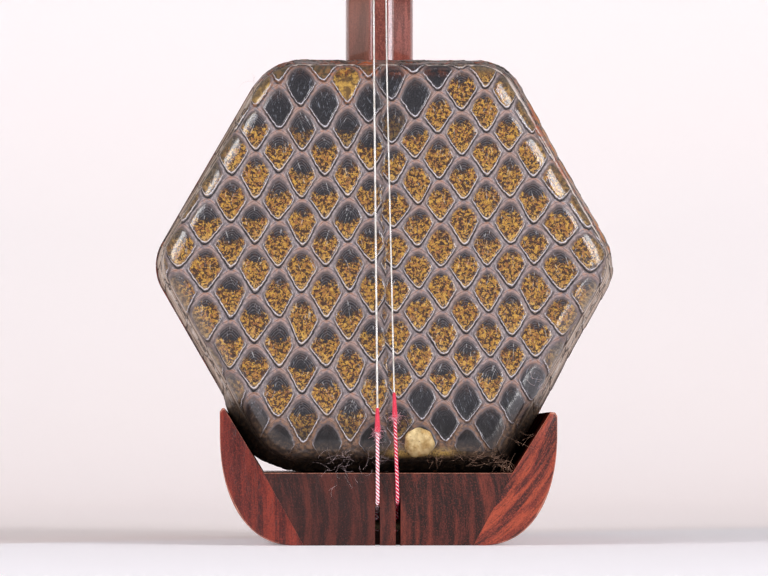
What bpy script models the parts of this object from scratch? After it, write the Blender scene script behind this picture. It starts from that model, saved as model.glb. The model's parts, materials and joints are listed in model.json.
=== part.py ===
"""Erhu: a two-string spike fiddle with a hexagonal, skin-faced resonator.

Frame: metres, +Z up.  The origin is on the underside of the base, in line with
the neck.  The skin faces -Y, the sound window faces +Y, +X is to the player's
right when the skin is looked at from the front.
"""
import math

import bmesh
import bpy
from mathutils import Matrix, Vector

MM = 0.001

# ---------------------------------------------------------------- dimensions
# Clearance that touching pieces keep.
GAP = 0.3

# Resonator: six boards in a hexagon with flat top and bottom.
HEX_Z = 63.7              # height of the resonator's axis
SKIN_AP = 47.0            # apothem of the skin band at its rear edge
SKIN_T = 0.9              # skin thickness
SKIN_FRONT = -48.0        # front face of the skin
SKIN_REAR = -34.6         # rear edge of the skin band
CREASE_Y = -43.8          # where the front rounding meets the side band
CREASE_AP = 44.7          # apothem there
CREASE_DZ = 0.55          # the front hexagon sits this much higher
FACE_AP = 40.3            # apothem of the flat field inside the rounding
# Outer corner radii: right, top right, top left, left, bottom left, bottom right
CORNER_R = (11.0, 8.5, 13.0, 11.0, 14.0, 11.5)
BOARD_AP = 46.7           # apothem of the boards behind the skin
BOARD_IN = 37.4           # apothem of the inside of the boards
BOARD_FRONT = -46.8
BOARD_REAR = 82.0
WAIST_AP = 45.9           # boards narrow slightly half way back

# Sound window in the rear opening.
WINDOW_Y0 = 74.0
WINDOW_Y1 = 78.0
WINDOW_PITCH = 14.2
WINDOW_HOLE_AP = 5.3

# Neck.
NECK_HX = 8.05            # half width
NECK_HY = 9.0             # half depth
NECK_SHOULDER = 110.75
NECK_STRAIGHT = 742.0
TENON_R = 7.0
TENON_BOTTOM = 4.5
HEAD_BEND_R = 62.0
HEAD_TURN = 78.0          # degrees the head curls towards the rear

# Pegs.
PEG_Z = {"lower": 665.0, "upper": 735.0}
PEG_TIP_Y = {"lower": -22.0, "upper": -31.5}
PEG_WIND_Y = {"lower": -17.6, "upper": -26.6}
PEG_END_Y = 128.0
PEG_HOLE_R = 5.1
PEG_TIP_R = 3.9
WIND_HALF = 2.8

# Strings.
INNER_R = 0.23
OUTER_R = 0.18
SILK_R = 0.45
QIANJIN_Z = 470.0
QIANJIN_Y = -17.0
QIANJIN_H = 8.0
QIANJIN_TRAVEL = 6.0
STRING_X = {              # string, x at: rim, silk start, slot
    "inner": (-2.60, -1.88, -1.84),
    "outer": (0.30, 1.90, 2.81),
}
STRING_QX = {"inner": -3.9, "outer": -2.3}
RIM = (-48.75, 105.5)     # y, z where a string crosses the front rim
SILK_TOP = {"inner": 31.4, "outer": 34.8}
PIN_Y, PIN_Z, PIN_R = -45.0, 4.5, 1.0

# Base: three blocks glued along sloping joints.
BASE_FRONT = -49.5
BASE_REAR = 45.0
BASE_FLAT_Z = 16.4
BASE_L = dict(outer=-37.4, top=31.0, ledge=-36.4, foot=-27.5, under=-18.7)
BASE_R = dict(outer=38.8, top=30.1, ledge=37.2, foot=28.6, under=20.0)
BASE_CURVE_A = 17.2
BASE_CURVE_B = 26.0
BASE_CURVE_N = 2.28
SLOT_W = 1.3
SLOT_TOP = {"inner": 8.9, "outer": 10.7}

# Brass tack through the lower edge of the skin.
TACK_X, TACK_Z, TACK_R, TACK_TILT = 7.6, 23.2, 3.4, 12.0


# ------------------------------------------------------------------- helpers
def clear_scene():
    for ob in list(bpy.data.objects):
        bpy.data.objects.remove(ob, do_unlink=True)


_materials = {}


def material(name, color, rough, metallic=0.0):
    if name not in _materials:
        mat = bpy.data.materials.new(name)
        mat.use_nodes = True
        bsdf = mat.node_tree.nodes["Principled BSDF"]
        bsdf.inputs["Base Color"].default_value = (*color, 1.0)
        bsdf.inputs["Roughness"].default_value = rough
        bsdf.inputs["Metallic"].default_value = metallic
        mat.diffuse_color = (*color, 1.0)
        _materials[name] = mat
    return _materials[name]


def add_mesh(name, bm, mat, origin=(0, 0, 0), smooth=None, keep_origin=True):
    """Millimetre bmesh in world coordinates -> object whose origin is given."""
    org = Vector(origin)
    bmesh.ops.remove_doubles(bm, verts=bm.verts, dist=0.002)
    bmesh.ops.recalc_face_normals(bm, faces=bm.faces)
    bmesh.ops.translate(bm, verts=bm.verts, vec=-org)
    bmesh.ops.scale(bm, verts=bm.verts, vec=(MM, MM, MM))
    mesh = bpy.data.meshes.new(name)
    bm.to_mesh(mesh)
    bm.free()
    if smooth is not None:
        mesh.shade_smooth()
        mesh.set_sharp_from_angle(angle=math.radians(smooth))
    ob = bpy.data.objects.new(name, mesh)
    ob.location = org * MM
    mesh.materials.append(mat)
    bpy.context.scene.collection.objects.link(ob)
    return ob


def loft(sections):
    """Closed body through equal-length loops of points, capped at both ends."""
    bm = bmesh.new()
    rings = [[bm.verts.new(p) for p in sec] for sec in sections]
    n = len(rings[0])
    for a, b in zip(rings, rings[1:]):
        for i in range(n):
            j = (i + 1) % n
            bm.faces.new((a[i], a[j], b[j], b[i]))
    bm.faces.new(list(reversed(rings[0])))
    bm.faces.new(rings[-1])
    return bm


def lathe_y(profile, cx, cz, segments=24, flute=None):
    """Turn (y, r) points about the line x=cx, z=cz.  r == 0 closes an end."""
    bm = bmesh.new()
    rings = []
    for k, (y, r) in enumerate(profile):
        if r <= 0.0:
            rings.append([bm.verts.new((cx, y, cz))])
            continue
        ring = []
        for i in range(segments):
            a = 2 * math.pi * (i + 0.5) / segments
            rr = r * (flute(y, a) if flute else 1.0)
            ring.append(bm.verts.new((cx + rr * math.cos(a), y, cz + rr * math.sin(a))))
        rings.append(ring)
    for a, b in zip(rings, rings[1:]):
        for i in range(segments):
            j = (i + 1) % segments
            if len(a) == 1 and len(b) == 1:
                continue
            if len(a) == 1:
                bm.faces.new((a[0], b[j], b[i]))
            elif len(b) == 1:
                bm.faces.new((a[i], a[j], b[0]))
            else:
                bm.faces.new((a[i], a[j], b[j], b[i]))
    return bm, rings


def ring_y(profile, cx, cz, segments=24):
    """Turn a closed (y, r) loop about the line x=cx, z=cz."""
    bm, rings = lathe_y(profile, cx, cz, segments)
    a, b = rings[-1], rings[0]
    for i in range(segments):
        j = (i + 1) % segments
        bm.faces.new((a[i], a[j], b[j], b[i]))
    return bm


def cutter(name, bm):
    ob = add_mesh(name, bm, material("cutter", (0.8, 0.1, 0.1), 0.5))
    ob.hide_render = True
    ob.display_type = 'WIRE'
    return ob


def cut(ob, *tools):
    for t in tools:
        mod = ob.modifiers.new("cut_" + t.name, 'BOOLEAN')
        mod.operation = 'DIFFERENCE'
        mod.solver = 'EXACT'
        mod.object = t


def box_bm(lo, hi):
    bm = bmesh.new()
    x0, y0, z0 = lo
    x1, y1, z1 = hi
    v = [bm.verts.new(p) for p in (
        (x0, y0, z0), (x1, y0, z0), (x1, y1, z0), (x0, y1, z0),
        (x0, y0, z1), (x1, y0, z1), (x1, y1, z1), (x0, y1, z1))]
    for f in ((0, 3, 2, 1), (4, 5, 6, 7), (0, 1, 5, 4), (1, 2, 6, 5), (2, 3, 7, 6), (3, 0, 4, 7)):
        bm.faces.new([v[i] for i in f])
    return bm


def cylinder_bm(p0, p1, r, segments=24):
    p0, p1 = Vector(p0), Vector(p1)
    axis = (p1 - p0).normalized()
    side = axis.orthogonal().normalized()
    other = axis.cross(side)
    secs = []
    for p in (p0, p1):
        secs.append([p + r * (math.cos(a) * side + math.sin(a) * other)
                     for a in (2 * math.pi * (i + 0.5) / segments for i in range(segments))])
    return loft(secs)


def catmull(points, step):
    """Smooth curve through the points, read off about every step mm."""
    pts = [Vector(p) for p in points]
    pts = [2 * pts[0] - pts[1]] + pts + [2 * pts[-1] - pts[-2]]
    out = []
    for i in range(1, len(pts) - 2):
        p0, p1, p2, p3 = pts[i - 1:i + 3]
        t01 = max((p1 - p0).length ** 0.5, 1e-6)
        t12 = max((p2 - p1).length ** 0.5, 1e-6)
        t23 = max((p3 - p2).length ** 0.5, 1e-6)
        m1 = (p2 - p1) + t12 * ((p1 - p0) / t01 - (p2 - p0) / (t01 + t12))
        m2 = (p2 - p1) + t12 * ((p3 - p2) / t23 - (p3 - p1) / (t12 + t23))
        n = max(1, int(round((p2 - p1).length / step)))
        for k in range(n):
            t = k / n
            h = (2 * t ** 3 - 3 * t * t + 1, t ** 3 - 2 * t * t + t,
                 -2 * t ** 3 + 3 * t * t, t ** 3 - t * t)
            out.append(h[0] * p1 + h[1] * m1 + h[2] * p2 + h[3] * m2)
    out.append(pts[-2])
    return out


def tube(name, points, radius, mat, origin):
    curve = bpy.data.curves.new(name, 'CURVE')
    curve.dimensions = '3D'
    curve.bevel_depth = radius * MM
    curve.bevel_resolution = 2
    curve.use_fill_caps = True
    org = Vector(origin)
    spline = curve.splines.new('POLY')
    spline.points.add(len(points) - 1)
    for sp, p in zip(spline.points, points):
        sp.co = (*((Vector(p) - org) * MM), 1.0)
    ob = bpy.data.objects.new(name, curve)
    ob.location = org * MM
    curve.materials.append(mat)
    bpy.context.scene.collection.objects.link(ob)
    return ob


# ---------------------------------------------------------- hexagon geometry
def hex_outline(ap, shrink=None, cz=HEX_Z, arc=6):
    """Rounded hexagon in the XZ plane: (x, z) points, counter-clockwise.

    Each corner gives arc + 1 points.  The corner radii are those of the skin's
    rear edge, less the distance that this outline lies inside it.
    """
    if shrink is None:
        shrink = SKIN_AP - ap
    pts = []
    for k in range(6):
        ang = math.radians(60 * k)
        r = max(CORNER_R[k] - shrink, 2.5)
        d = (ap - r) / math.cos(math.radians(30))
        cx, cy = d * math.cos(ang), d * math.sin(ang)
        for i in range(arc + 1):
            a = ang + math.radians(-30 + 60 * i / arc)
            pts.append((cx + r * math.cos(a), cz + cy + r * math.sin(a)))
    return pts


def ring_at(y, ap, cz=HEX_Z, arc=6):
    return [Vector((x, y, z)) for x, z in hex_outline(ap, cz=cz, arc=arc)]


def skin_stations(inset):
    """(y, apothem, centre z) down the skin's surface, rear edge to flat face."""
    out = [(SKIN_REAR, SKIN_AP - inset, HEX_Z)]
    out.append((CREASE_Y, CREASE_AP - inset, HEX_Z + CREASE_DZ))
    y1 = SKIN_FRONT + inset
    depth = CREASE_Y - y1
    width = CREASE_AP - FACE_AP
    steps = 4
    for i in range(1, steps + 1):
        a = math.radians(90 * i / steps)
        out.append((CREASE_Y - depth * math.sin(a),
                    CREASE_AP - inset - width * (1 - math.cos(a)), HEX_Z + CREASE_DZ))
    return out


def build_skin(mat):
    bm = bmesh.new()
    loops = []
    for inset in (0.0, SKIN_T):
        side = [[bm.verts.new(p) for p in ring_at(y, ap, cz)]
                for y, ap, cz in skin_stations(inset)]
        loops.append(side)
    n = len(loops[0][0])
    for side in loops:
        for a, b in zip(side, side[1:]):
            for i in range(n):
                j = (i + 1) % n
                bm.faces.new((a[i], a[j], b[j], b[i]))
        bm.faces.new(side[-1])
    a, b = loops[0][0], loops[1][0]
    for i in range(n):
        j = (i + 1) % n
        bm.faces.new((a[i], a[j], b[j], b[i]))
    return add_mesh("snakeskin_head", bm, mat, origin=(0, SKIN_FRONT, HEX_Z), smooth=40)


def board_stations():
    """(y, outer apothem, centre z) of the outside of the boards."""
    return [
        (BOARD_FRONT, FACE_AP - SKIN_T - 0.6, HEX_Z + CREASE_DZ),
        (BOARD_FRONT + 1.3, FACE_AP - SKIN_T + 1.3, HEX_Z + CREASE_DZ),
        (CREASE_Y + 0.2, CREASE_AP - SKIN_T - GAP - 0.15, HEX_Z + CREASE_DZ),
        (SKIN_REAR + GAP, SKIN_AP - SKIN_T - GAP, HEX_Z),
        (SKIN_REAR + GAP, BOARD_AP, HEX_Z),
        (10.0, BOARD_AP, HEX_Z),
        (55.0, WAIST_AP, HEX_Z),
        (BOARD_REAR, BOARD_AP - 0.3, HEX_Z),
    ]


def build_boards(mat):
    """Six mitred boards; board k spans corner k to corner k + 1."""
    names = ("resonator_board_upper_right", "resonator_board_top",
             "resonator_board_upper_left", "resonator_board_lower_left",
             "resonator_board_bottom", "resonator_board_lower_right")
    arc = 6
    half = arc // 2
    boards = {}
    for k, name in enumerate(names):
        k2 = (k + 1) % 6
        secs = []
        for y, ap, cz in board_stations():
            ring = hex_outline(ap, cz=cz, arc=arc)
            first = [ring[k * (arc + 1) + i] for i in range(half, arc + 1)]
            last = [ring[k2 * (arc + 1) + i] for i in range(0, half + 1)]
            loop = []
            mitres = []
            for kk, sgn in ((k, 1), (k2, -1)):
                a = math.radians(60 * kk)
                mitres.append((math.cos(a + sgn * math.pi / 2) * GAP / 2,
                               math.sin(a + sgn * math.pi / 2) * GAP / 2))
            outer = first + last
            outer[0] = (outer[0][0] + mitres[0][0], outer[0][1] + mitres[0][1])
            outer[-1] = (outer[-1][0] + mitres[1][0], outer[-1][1] + mitres[1][1])
            inner = []
            for kk, m in ((k2, mitres[1]), (k, mitres[0])):
                a = math.radians(60 * kk)
                d = BOARD_IN / math.cos(math.radians(30))
                inner.append((d * math.cos(a) + m[0], HEX_Z + d * math.sin(a) + m[1]))
            loop = outer + inner
            secs.append([Vector((x, y, z)) for x, z in loop])
        boards[name] = add_mesh(name, loft(secs), mat, origin=(0, 0, HEX_Z), smooth=35)
    return boards


def build_window(mat):
    """Pierced hexagonal panel let into the rear opening."""
    ap = BOARD_IN - GAP
    d = ap / math.cos(math.radians(30))
    hexa = [(d * math.cos(math.radians(60 * k)), HEX_Z + d * math.sin(math.radians(60 * k)))
            for k in range(6)]
    panel = add_mesh("sound_window", loft([[Vector((x, y, z)) for x, z in hexa]
                                           for y in (WINDOW_Y0, WINDOW_Y1)]),
                     mat, origin=(0, WINDOW_Y0, HEX_Z))
    bm = bmesh.new()
    holes = bmesh.new()
    hr = WINDOW_HOLE_AP / math.cos(math.radians(30))
    for q in range(-2, 3):
        for r in range(-2, 3):
            if abs(q + r) > 2:
                continue
            cx = WINDOW_PITCH * (q + r / 2)
            cz = HEX_Z + WINDOW_PITCH * r * math.sqrt(3) / 2
            # the lattice is turned so that its rows follow the boards
            secs = []
            for y in (WINDOW_Y0 - 2, WINDOW_Y1 + 2):
                secs.append([Vector((cx + hr * math.cos(math.radians(60 * i + 30)), y,
                                     cz + hr * math.sin(math.radians(60 * i + 30))))
                             for i in range(6)])
            one = loft(secs)
            tmp = bpy.data.meshes.new("hole")
            one.to_mesh(tmp)
            one.free()
            holes.from_mesh(tmp)
            bpy.data.meshes.remove(tmp)
    bm.free()
    tool = cutter("window_piercing_cutter", holes)
    cut(panel, tool)
    return panel


# --------------------------------------------------------------------- neck
def superellipse(hx, hy, n=2.5, count=28):
    pts = []
    for i in range(count):
        a = 2 * math.pi * (i + 0.5) / count
        c, s = math.cos(a), math.sin(a)
        pts.append((hx * math.copysign(abs(c) ** (2 / n), c),
                    hy * math.copysign(abs(s) ** (2 / n), s)))
    return pts


def head_stations():
    """Centre, tangent angle and half sizes along the curled head."""
    steps = 14
    out = []
    for i in range(steps + 1):
        t = i / steps
        a = math.radians(HEAD_TURN * t)
        y = HEAD_BEND_R * (1 - math.cos(a))
        z = NECK_STRAIGHT + 10 + HEAD_BEND_R * math.sin(a)
        swell = math.sin(math.pi * min(1.0, t * 1.15)) ** 0.8
        hy = NECK_HY * (1 - 0.62 * t ** 1.6) + 5.2 * swell
        hx = NECK_HX * (1 - 0.34 * t)
        out.append(((0, y, z), a, hx, hy))
    return out


def head_ring(centre, a, hx, hy, count=28):
    across = Vector((0, math.cos(a), -math.sin(a)))
    return [Vector(centre) + Vector((1, 0, 0)) * x + across * y
            for x, y in superellipse(hx, hy, count=count)]


def build_neck(mat):
    secs = []
    count = 28
    # round tenon, then the shoulder, then the stick
    for z, r in ((TENON_BOTTOM, TENON_R - 0.6), (TENON_BOTTOM + 0.8, TENON_R), (NECK_SHOULDER, TENON_R)):
        secs.append([Vector((r * math.cos(a), r * math.sin(a), z))
                     for a in (2 * math.pi * (i + 0.5) / count for i in range(count))])
    for z, k in ((NECK_SHOULDER, 1.0), (300.0, 1.0), (600.0, 0.985), (NECK_STRAIGHT, 0.985)):
        secs.append([Vector((x * k, y * k, z)) for x, y in superellipse(NECK_HX, NECK_HY, count=count)])
    for c, a, hx, hy in head_stations():
        secs.append(head_ring(c, a, hx, hy))
    neck = add_mesh("neck", loft(secs), mat, smooth=35)
    for which in ("lower", "upper"):
        z = PEG_Z[which]
        tool = cutter(which + "_peg_hole_cutter",
                      cylinder_bm((0, -20, z), (0, 20, z), PEG_HOLE_R, 28))
        cut(neck, tool)
    return neck


def build_head_cap(mat):
    c, a, hx, hy = head_stations()[-1]
    along = Vector((0, math.sin(a), math.cos(a)))
    secs = []
    for d, k in ((GAP, 1.0), (2.0, 1.06), (4.5, 0.96), (6.3, 0.68), (7.0, 0.25)):
        secs.append(head_ring(Vector(c) + along * d, a, hx * k, hy * k))
    return add_mesh("head_tip_cap", loft(secs), mat, origin=c, smooth=50)


# --------------------------------------------------------------------- pegs
def flute(y, a):
    """Shallow flutes along the swelling part of the handle."""
    t = min(max((y - 30.0) / 14.0, 0.0), 1.0) * min(max((118.0 - y) / 8.0, 0.0), 1.0)
    return 1.0 - 0.075 * t * (0.5 + 0.5 * math.cos(8 * a))


def build_peg(which, mat, bone, silver):
    z = PEG_Z[which]
    tip = PEG_TIP_Y[which]
    end = PEG_END_Y
    profile = [
        (tip, 0.0), (tip, 3.2), (tip + 0.7, PEG_TIP_R), (-9.6, 4.1), (9.3, 4.7),
        (9.3, 6.3), (10.3, 6.9), (12.6, 6.9), (13.6, 6.0), (16.0, 5.3), (24.0, 5.6),
        (34.0, 7.0), (50.0, 8.7), (70.0, 10.2), (90.0, 11.0), (106.0, 11.2),
        (114.0, 10.6), (119.0, 9.2), (121.5, 7.6), (123.0, 8.2), (125.0, 8.4),
        (127.0, 7.4), (end, 5.6), (end, 2.4), (end - 4.5, 2.4), (end - 4.5, 0.0),
    ]
    bm, _ = lathe_y(profile, 0, z, 32, flute)
    peg = add_mesh(which + "_peg", bm, mat, origin=(0, 0, z), smooth=35)

    profile = [(end - 4.2, 0.0), (end - 4.2, 2.05), (end + GAP, 2.05), (end + GAP, 4.6),
               (end + 1.2, 4.9), (end + 2.4, 4.3), (end + 3.3, 2.6), (end + 3.6, 0.0)]
    bm, _ = lathe_y(profile, 0, z, 20)
    add_mesh(which + "_peg_button", bm, bone, origin=(0, 0, z), smooth=45)

    # the turns of string wound on the peg's front end
    yc = PEG_WIND_Y[which]
    r_in = PEG_TIP_R + 0.2 + GAP
    turns = 5
    profile = [(yc - WIND_HALF, r_in)]
    for i in range(turns * 2 + 1):
        y = yc - WIND_HALF + 2 * WIND_HALF * i / (turns * 2)
        profile.append((y, r_in + (0.28 if i % 2 == 0 else 0.52)))
    profile.append((yc + WIND_HALF, r_in))
    add_mesh({"lower": "outer_string_winding", "upper": "inner_string_winding"}[which],
             ring_y(profile, 0, z, 24), silver, origin=(0, 0, z), smooth=60)
    return peg


# ------------------------------------------------------------------ strings
def string_path(which):
    peg = {"inner": "upper", "outer": "lower"}[which]
    r = {"inner": INNER_R, "outer": OUTER_R}[which]
    rim_x, silk_x, _ = STRING_X[which]
    x_peg = -(PEG_TIP_R + 0.2 + GAP + 0.52 + GAP + r)
    pts = [Vector((x_peg, PEG_WIND_Y[peg], PEG_Z[peg])),
           Vector((STRING_QX[which], QIANJIN_Y, QIANJIN_Z)),
           Vector((rim_x, RIM[0], RIM[1])),
           Vector((silk_x, -49.95, SILK_TOP[which]))]
    # straight runs, eased over a few millimetres where the string bends
    out = [pts[0]]
    for a, b, c in zip(pts, pts[1:], pts[2:]):
        for k in (-3, -1.5, 0, 1.5, 3):
            if k < 0:
                out.append(b + (a - b).normalized() * -k)
            elif k > 0:
                out.append(b + (c - b).normalized() * k)
            else:
                out.append(b + ((a - b).normalized() + (c - b).normalized()) * 0.35)
    out.append(pts[3])
    return out


def silk_path(which):
    _, silk_x, slot_x = STRING_X[which]
    top = SILK_TOP[which] - GAP
    enter = SLOT_TOP[which]
    r = PIN_R + SILK_R + 0.27
    pts = [(silk_x, -49.95, top),
           (silk_x * 0.5 + slot_x * 0.5, -50.15, (top + enter) / 2),
           (slot_x, -50.3, enter + 1.5),
           (slot_x, -50.25, enter - 0.4),
           (slot_x, -49.4, enter - 2.0)]
    if enter > 10:
        pts.append((slot_x, -48.0, enter - 3.4))
    else:
        pts.append((slot_x, -48.1, enter - 2.9))
    for a in (165, 180, 205, 230, 255, 280, 305, 330, 355, 380):
        pts.append((slot_x, PIN_Y + r * math.cos(math.radians(a)),
                    PIN_Z + r * math.sin(math.radians(a))))
    return catmull(pts, 1.2)


def build_strings(steel, silk):
    for which in ("inner", "outer"):
        r = {"inner": INNER_R, "outer": OUTER_R}[which]
        path = string_path(which)
        tube(which + "_string", path, r, steel, path[-1])
        path = silk_path(which)
        tube(which + "_string_silk_tail", path, SILK_R, silk, path[0])


def build_qianjin(mat):
    """Band of thread round the neck and both strings."""
    reach = QIANJIN_H / 2 + QIANJIN_TRAVEL
    slope = (RIM[0] - QIANJIN_Y) / (RIM[1] - QIANJIN_Z)
    front = QIANJIN_Y - INNER_R - reach * slope - GAP
    xm = 0.5 * (STRING_QX["inner"] + STRING_QX["outer"])
    centres = []
    for x, y in superellipse(NECK_HX, NECK_HY, count=48):
        centres.append((x, y))
    rr = 1.6
    for i in range(24):
        a = 2 * math.pi * i / 24
        centres.append((xm + rr * math.cos(a), front + rr + rr * math.sin(a)))
    # convex outline round both, then two parallel outlines of it
    pts = sorted(set((round(x, 4), round(y, 4)) for x, y in centres))

    def half(seq):
        h = []
        for p in seq:
            while len(h) > 1 and ((h[-1][0] - h[-2][0]) * (p[1] - h[-2][1])
                                  - (h[-1][1] - h[-2][1]) * (p[0] - h[-2][0])) <= 0:
                h.pop()
            h.append(p)
        return h[:-1]
    hull = half(pts) + half(list(reversed(pts)))
    # even spacing along the outline
    n = 56
    seg = [math.dist(hull[i], hull[(i + 1) % len(hull)]) for i in range(len(hull))]
    total = sum(seg)
    even = []
    for k in range(n):
        s = total * k / n
        i = 0
        while s > seg[i]:
            s -= seg[i]
            i += 1
        a, b = hull[i], hull[(i + 1) % len(hull)]
        t = s / seg[i]
        even.append((a[0] + (b[0] - a[0]) * t, a[1] + (b[1] - a[1]) * t))

    def offset(loop, d):
        out = []
        for i in range(len(loop)):
            p, q = loop[i - 1], loop[(i + 1) % len(loop)]
            tx, ty = q[0] - p[0], q[1] - p[1]
            ln = math.hypot(tx, ty)
            out.append((loop[i][0] + ty / ln * d, loop[i][1] - tx / ln * d))
        return out
    inner = offset(even, 0.4)
    outer = offset(even, 1.2)
    bm = bmesh.new()
    z0, z1 = QIANJIN_Z - QIANJIN_H / 2, QIANJIN_Z + QIANJIN_H / 2
    loops = []
    for loop, zs in ((outer, (z0, z1)), (inner, (z1, z0))):
        for z in zs:
            loops.append([bm.verts.new((x, y, z)) for x, y in loop])
    for a, b in zip(loops, loops[1:] + loops[:1]):
        for i in range(n):
            j = (i + 1) % n
            bm.faces.new((a[i], a[j], b[j], b[i]))
    return add_mesh("qianjin_loop", bm, mat, origin=(0, 0, QIANJIN_Z), smooth=40)


# --------------------------------------------------------------------- base
def wing_profile(side, inset):
    """(x, z) outline of a wing; inset pulls its outer curve in for the arris."""
    d = BASE_L if side == "left" else BASE_R
    s = -1.0 if side == "left" else 1.0
    under = d["under"] + s * GAP / 2
    foot = d["foot"] + s * GAP / 2
    ledge = d["ledge"] + s * GAP / 2
    cx = d["outer"] - s * BASE_CURVE_A
    pts = [(under, inset), (foot, BASE_FLAT_Z), (ledge, d["top"] - inset)]
    pts.append((d["outer"] - s * (inset + 0.5), d["top"] - inset - 0.1))
    pts.append((d["outer"] - s * inset, d["top"] - inset - 0.9))
    steps = 16
    for i in range(steps + 1):
        t = math.radians(90 * i / steps)
        u = math.cos(t) ** (2 / BASE_CURVE_N)
        v = math.sin(t) ** (2 / BASE_CURVE_N)
        pts.append((cx + s * (BASE_CURVE_A - inset) * u,
                    BASE_CURVE_B - (BASE_CURVE_B - inset) * v))
    return pts


def build_base(mats):
    ch = 0.5
    stations = ((BASE_FRONT, ch), (BASE_FRONT + ch, 0.0), (BASE_REAR - ch, 0.0), (BASE_REAR, ch))
    wings = []
    for side in ("left", "right"):
        secs = [[Vector((x, y, z)) for x, z in wing_profile(side, inset)] for y, inset in stations]
        d = BASE_L if side == "left" else BASE_R
        wings.append(add_mesh("base_%s_wing" % side, loft(secs), mats[side],
                              origin=(d["foot"], 0, 0), smooth=30))
    secs = []
    for y, inset in stations:
        prof = [(BASE_L["under"] + GAP / 2, inset), (BASE_R["under"] - GAP / 2, inset),
                (BASE_R["foot"] - GAP / 2, BASE_FLAT_Z - inset * 0.6),
                (BASE_L["foot"] + GAP / 2, BASE_FLAT_Z - inset * 0.6)]
        secs.append([Vector((x, y, z)) for x, z in prof])
    block = add_mesh("base_centre_block", loft(secs), mats["centre"])
    tools = [cutter("tenon_socket_cutter",
                    cylinder_bm((0, 0, TENON_BOTTOM - GAP), (0, 0, 40), TENON_R + GAP, 28)),
             cutter("anchor_groove_cutter",
                    box_bm((-6.2, PIN_Y - PIN_R - GAP, -2.0),
                           (7.2, PIN_Y + PIN_R + GAP, PIN_Z + PIN_R + GAP)))]
    for which in ("inner", "outer"):
        x = STRING_X[which][2]
        tools.append(cutter(which + "_string_slot_cutter",
                            box_bm((x - SLOT_W / 2, BASE_FRONT - 3, -2.0),
                                   (x + SLOT_W / 2, PIN_Y + PIN_R + 2 * SILK_R + 1.2,
                                    SLOT_TOP[which]))))
    cut(block, *tools)
    return block, wings


def build_anchor_pin(mat):
    bm = cylinder_bm((-5.9, PIN_Y, PIN_Z), (6.9, PIN_Y, PIN_Z), PIN_R, 16)
    return add_mesh("string_anchor_pin", bm, mat, origin=(0.5, PIN_Y, PIN_Z), smooth=30)


# --------------------------------------------------------------------- tack
def tack_frame():
    t = math.radians(TACK_TILT)
    out = Vector((0, -math.cos(t), -math.sin(t)))     # from the shank to the head
    seat = Vector((TACK_X, SKIN_FRONT - 0.45, TACK_Z))
    return seat, out


def build_tack(mat, skin, board):
    seat, out = tack_frame()
    side = Vector((1, 0, 0))
    up = out.cross(side)
    bm = bmesh.new()
    profile = [(-9.0, 0.0), (-8.2, 0.45), (0.0, 0.5), (0.0, TACK_R), (0.45, TACK_R + 0.05),
               (0.85, TACK_R * 0.86), (1.15, TACK_R * 0.55), (1.25, 0.0)]
    n = 16
    rings = []
    for d, r in profile:
        if r == 0.0:
            rings.append([bm.verts.new(seat + out * d)])
            continue
        ring = []
        for i in range(n):
            a = 2 * math.pi * i / n
            # hand-filed outline, not quite round
            k = 1.0 + (0.035 * math.cos(3 * a + 0.6) + 0.025 * math.cos(5 * a) if r > 1 else 0.0)
            ring.append(bm.verts.new(seat + out * d + side * (r * k * math.cos(a))
                                     + up * (r * k * math.sin(a))))
        rings.append(ring)
    for a, b in zip(rings, rings[1:]):
        for i in range(n):
            j = (i + 1) % n
            if len(a) == 1:
                bm.faces.new((a[0], b[j], b[i]))
            elif len(b) == 1:
                bm.faces.new((a[i], a[j], b[0]))
            else:
                bm.faces.new((a[i], a[j], b[j], b[i]))
    tack = add_mesh("brass_tack", bm, mat, origin=seat, smooth=40)
    tool = cutter("tack_hole_cutter",
                  cylinder_bm(seat + out * 2.0, seat - out * 9.5, 0.85, 12))
    cut(skin, tool)
    cut(board, tool)
    return tack


# -------------------------------------------------------------------- build
def main():
    clear_scene()
    board_wood = material("board_wood", (0.20, 0.075, 0.045), 0.45)
    neck_wood = material("neck_wood", (0.24, 0.080, 0.055), 0.35)
    left_wood = material("base_left_wood", (0.30, 0.075, 0.045), 0.45)
    mid_wood = material("base_centre_wood", (0.16, 0.050, 0.035), 0.45)
    right_wood = material("base_right_wood", (0.38, 0.110, 0.060), 0.42)
    peg_wood = material("peg_wood", (0.09, 0.035, 0.025), 0.35)
    window_wood = material("window_wood", (0.22, 0.085, 0.05), 0.5)
    bone = material("bone", (0.85, 0.80, 0.68), 0.4)
    skin_mat = material("snakeskin", (0.30, 0.20, 0.11), 0.3)
    steel = material("string_steel", (0.75, 0.74, 0.72), 0.25, 1.0)
    silk = material("red_silk", (0.65, 0.03, 0.07), 0.8)
    thread = material("qianjin_thread", (0.80, 0.75, 0.62), 0.8)
    brass = material("brass", (0.80, 0.66, 0.38), 0.35, 1.0)

    skin = build_skin(skin_mat)
    boards = build_boards(board_wood)
    build_window(window_wood)
    neck = build_neck(neck_wood)
    build_head_cap(bone)

    # the neck's tenon passes through the top and bottom boards
    tool = cutter("tenon_hole_cutter",
                  cylinder_bm((0, 0, 2), (0, 0, 130), TENON_R + GAP, 28))
    cut(boards["resonator_board_top"], tool)
    cut(boards["resonator_board_bottom"], tool)

    for which in ("lower", "upper"):
        build_peg(which, peg_wood, bone, steel)
    build_strings(steel, silk)
    build_qianjin(thread)
    build_base({"left": left_wood, "centre": mid_wood, "right": right_wood})
    build_anchor_pin(brass)
    build_tack(brass, skin, boards["resonator_board_bottom"])


main()
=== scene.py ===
"""Looks of the erhu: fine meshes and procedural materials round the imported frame."""

import json
import math
import random

import bmesh
import bpy
import numpy as np
from mathutils import Matrix, Vector


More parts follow.
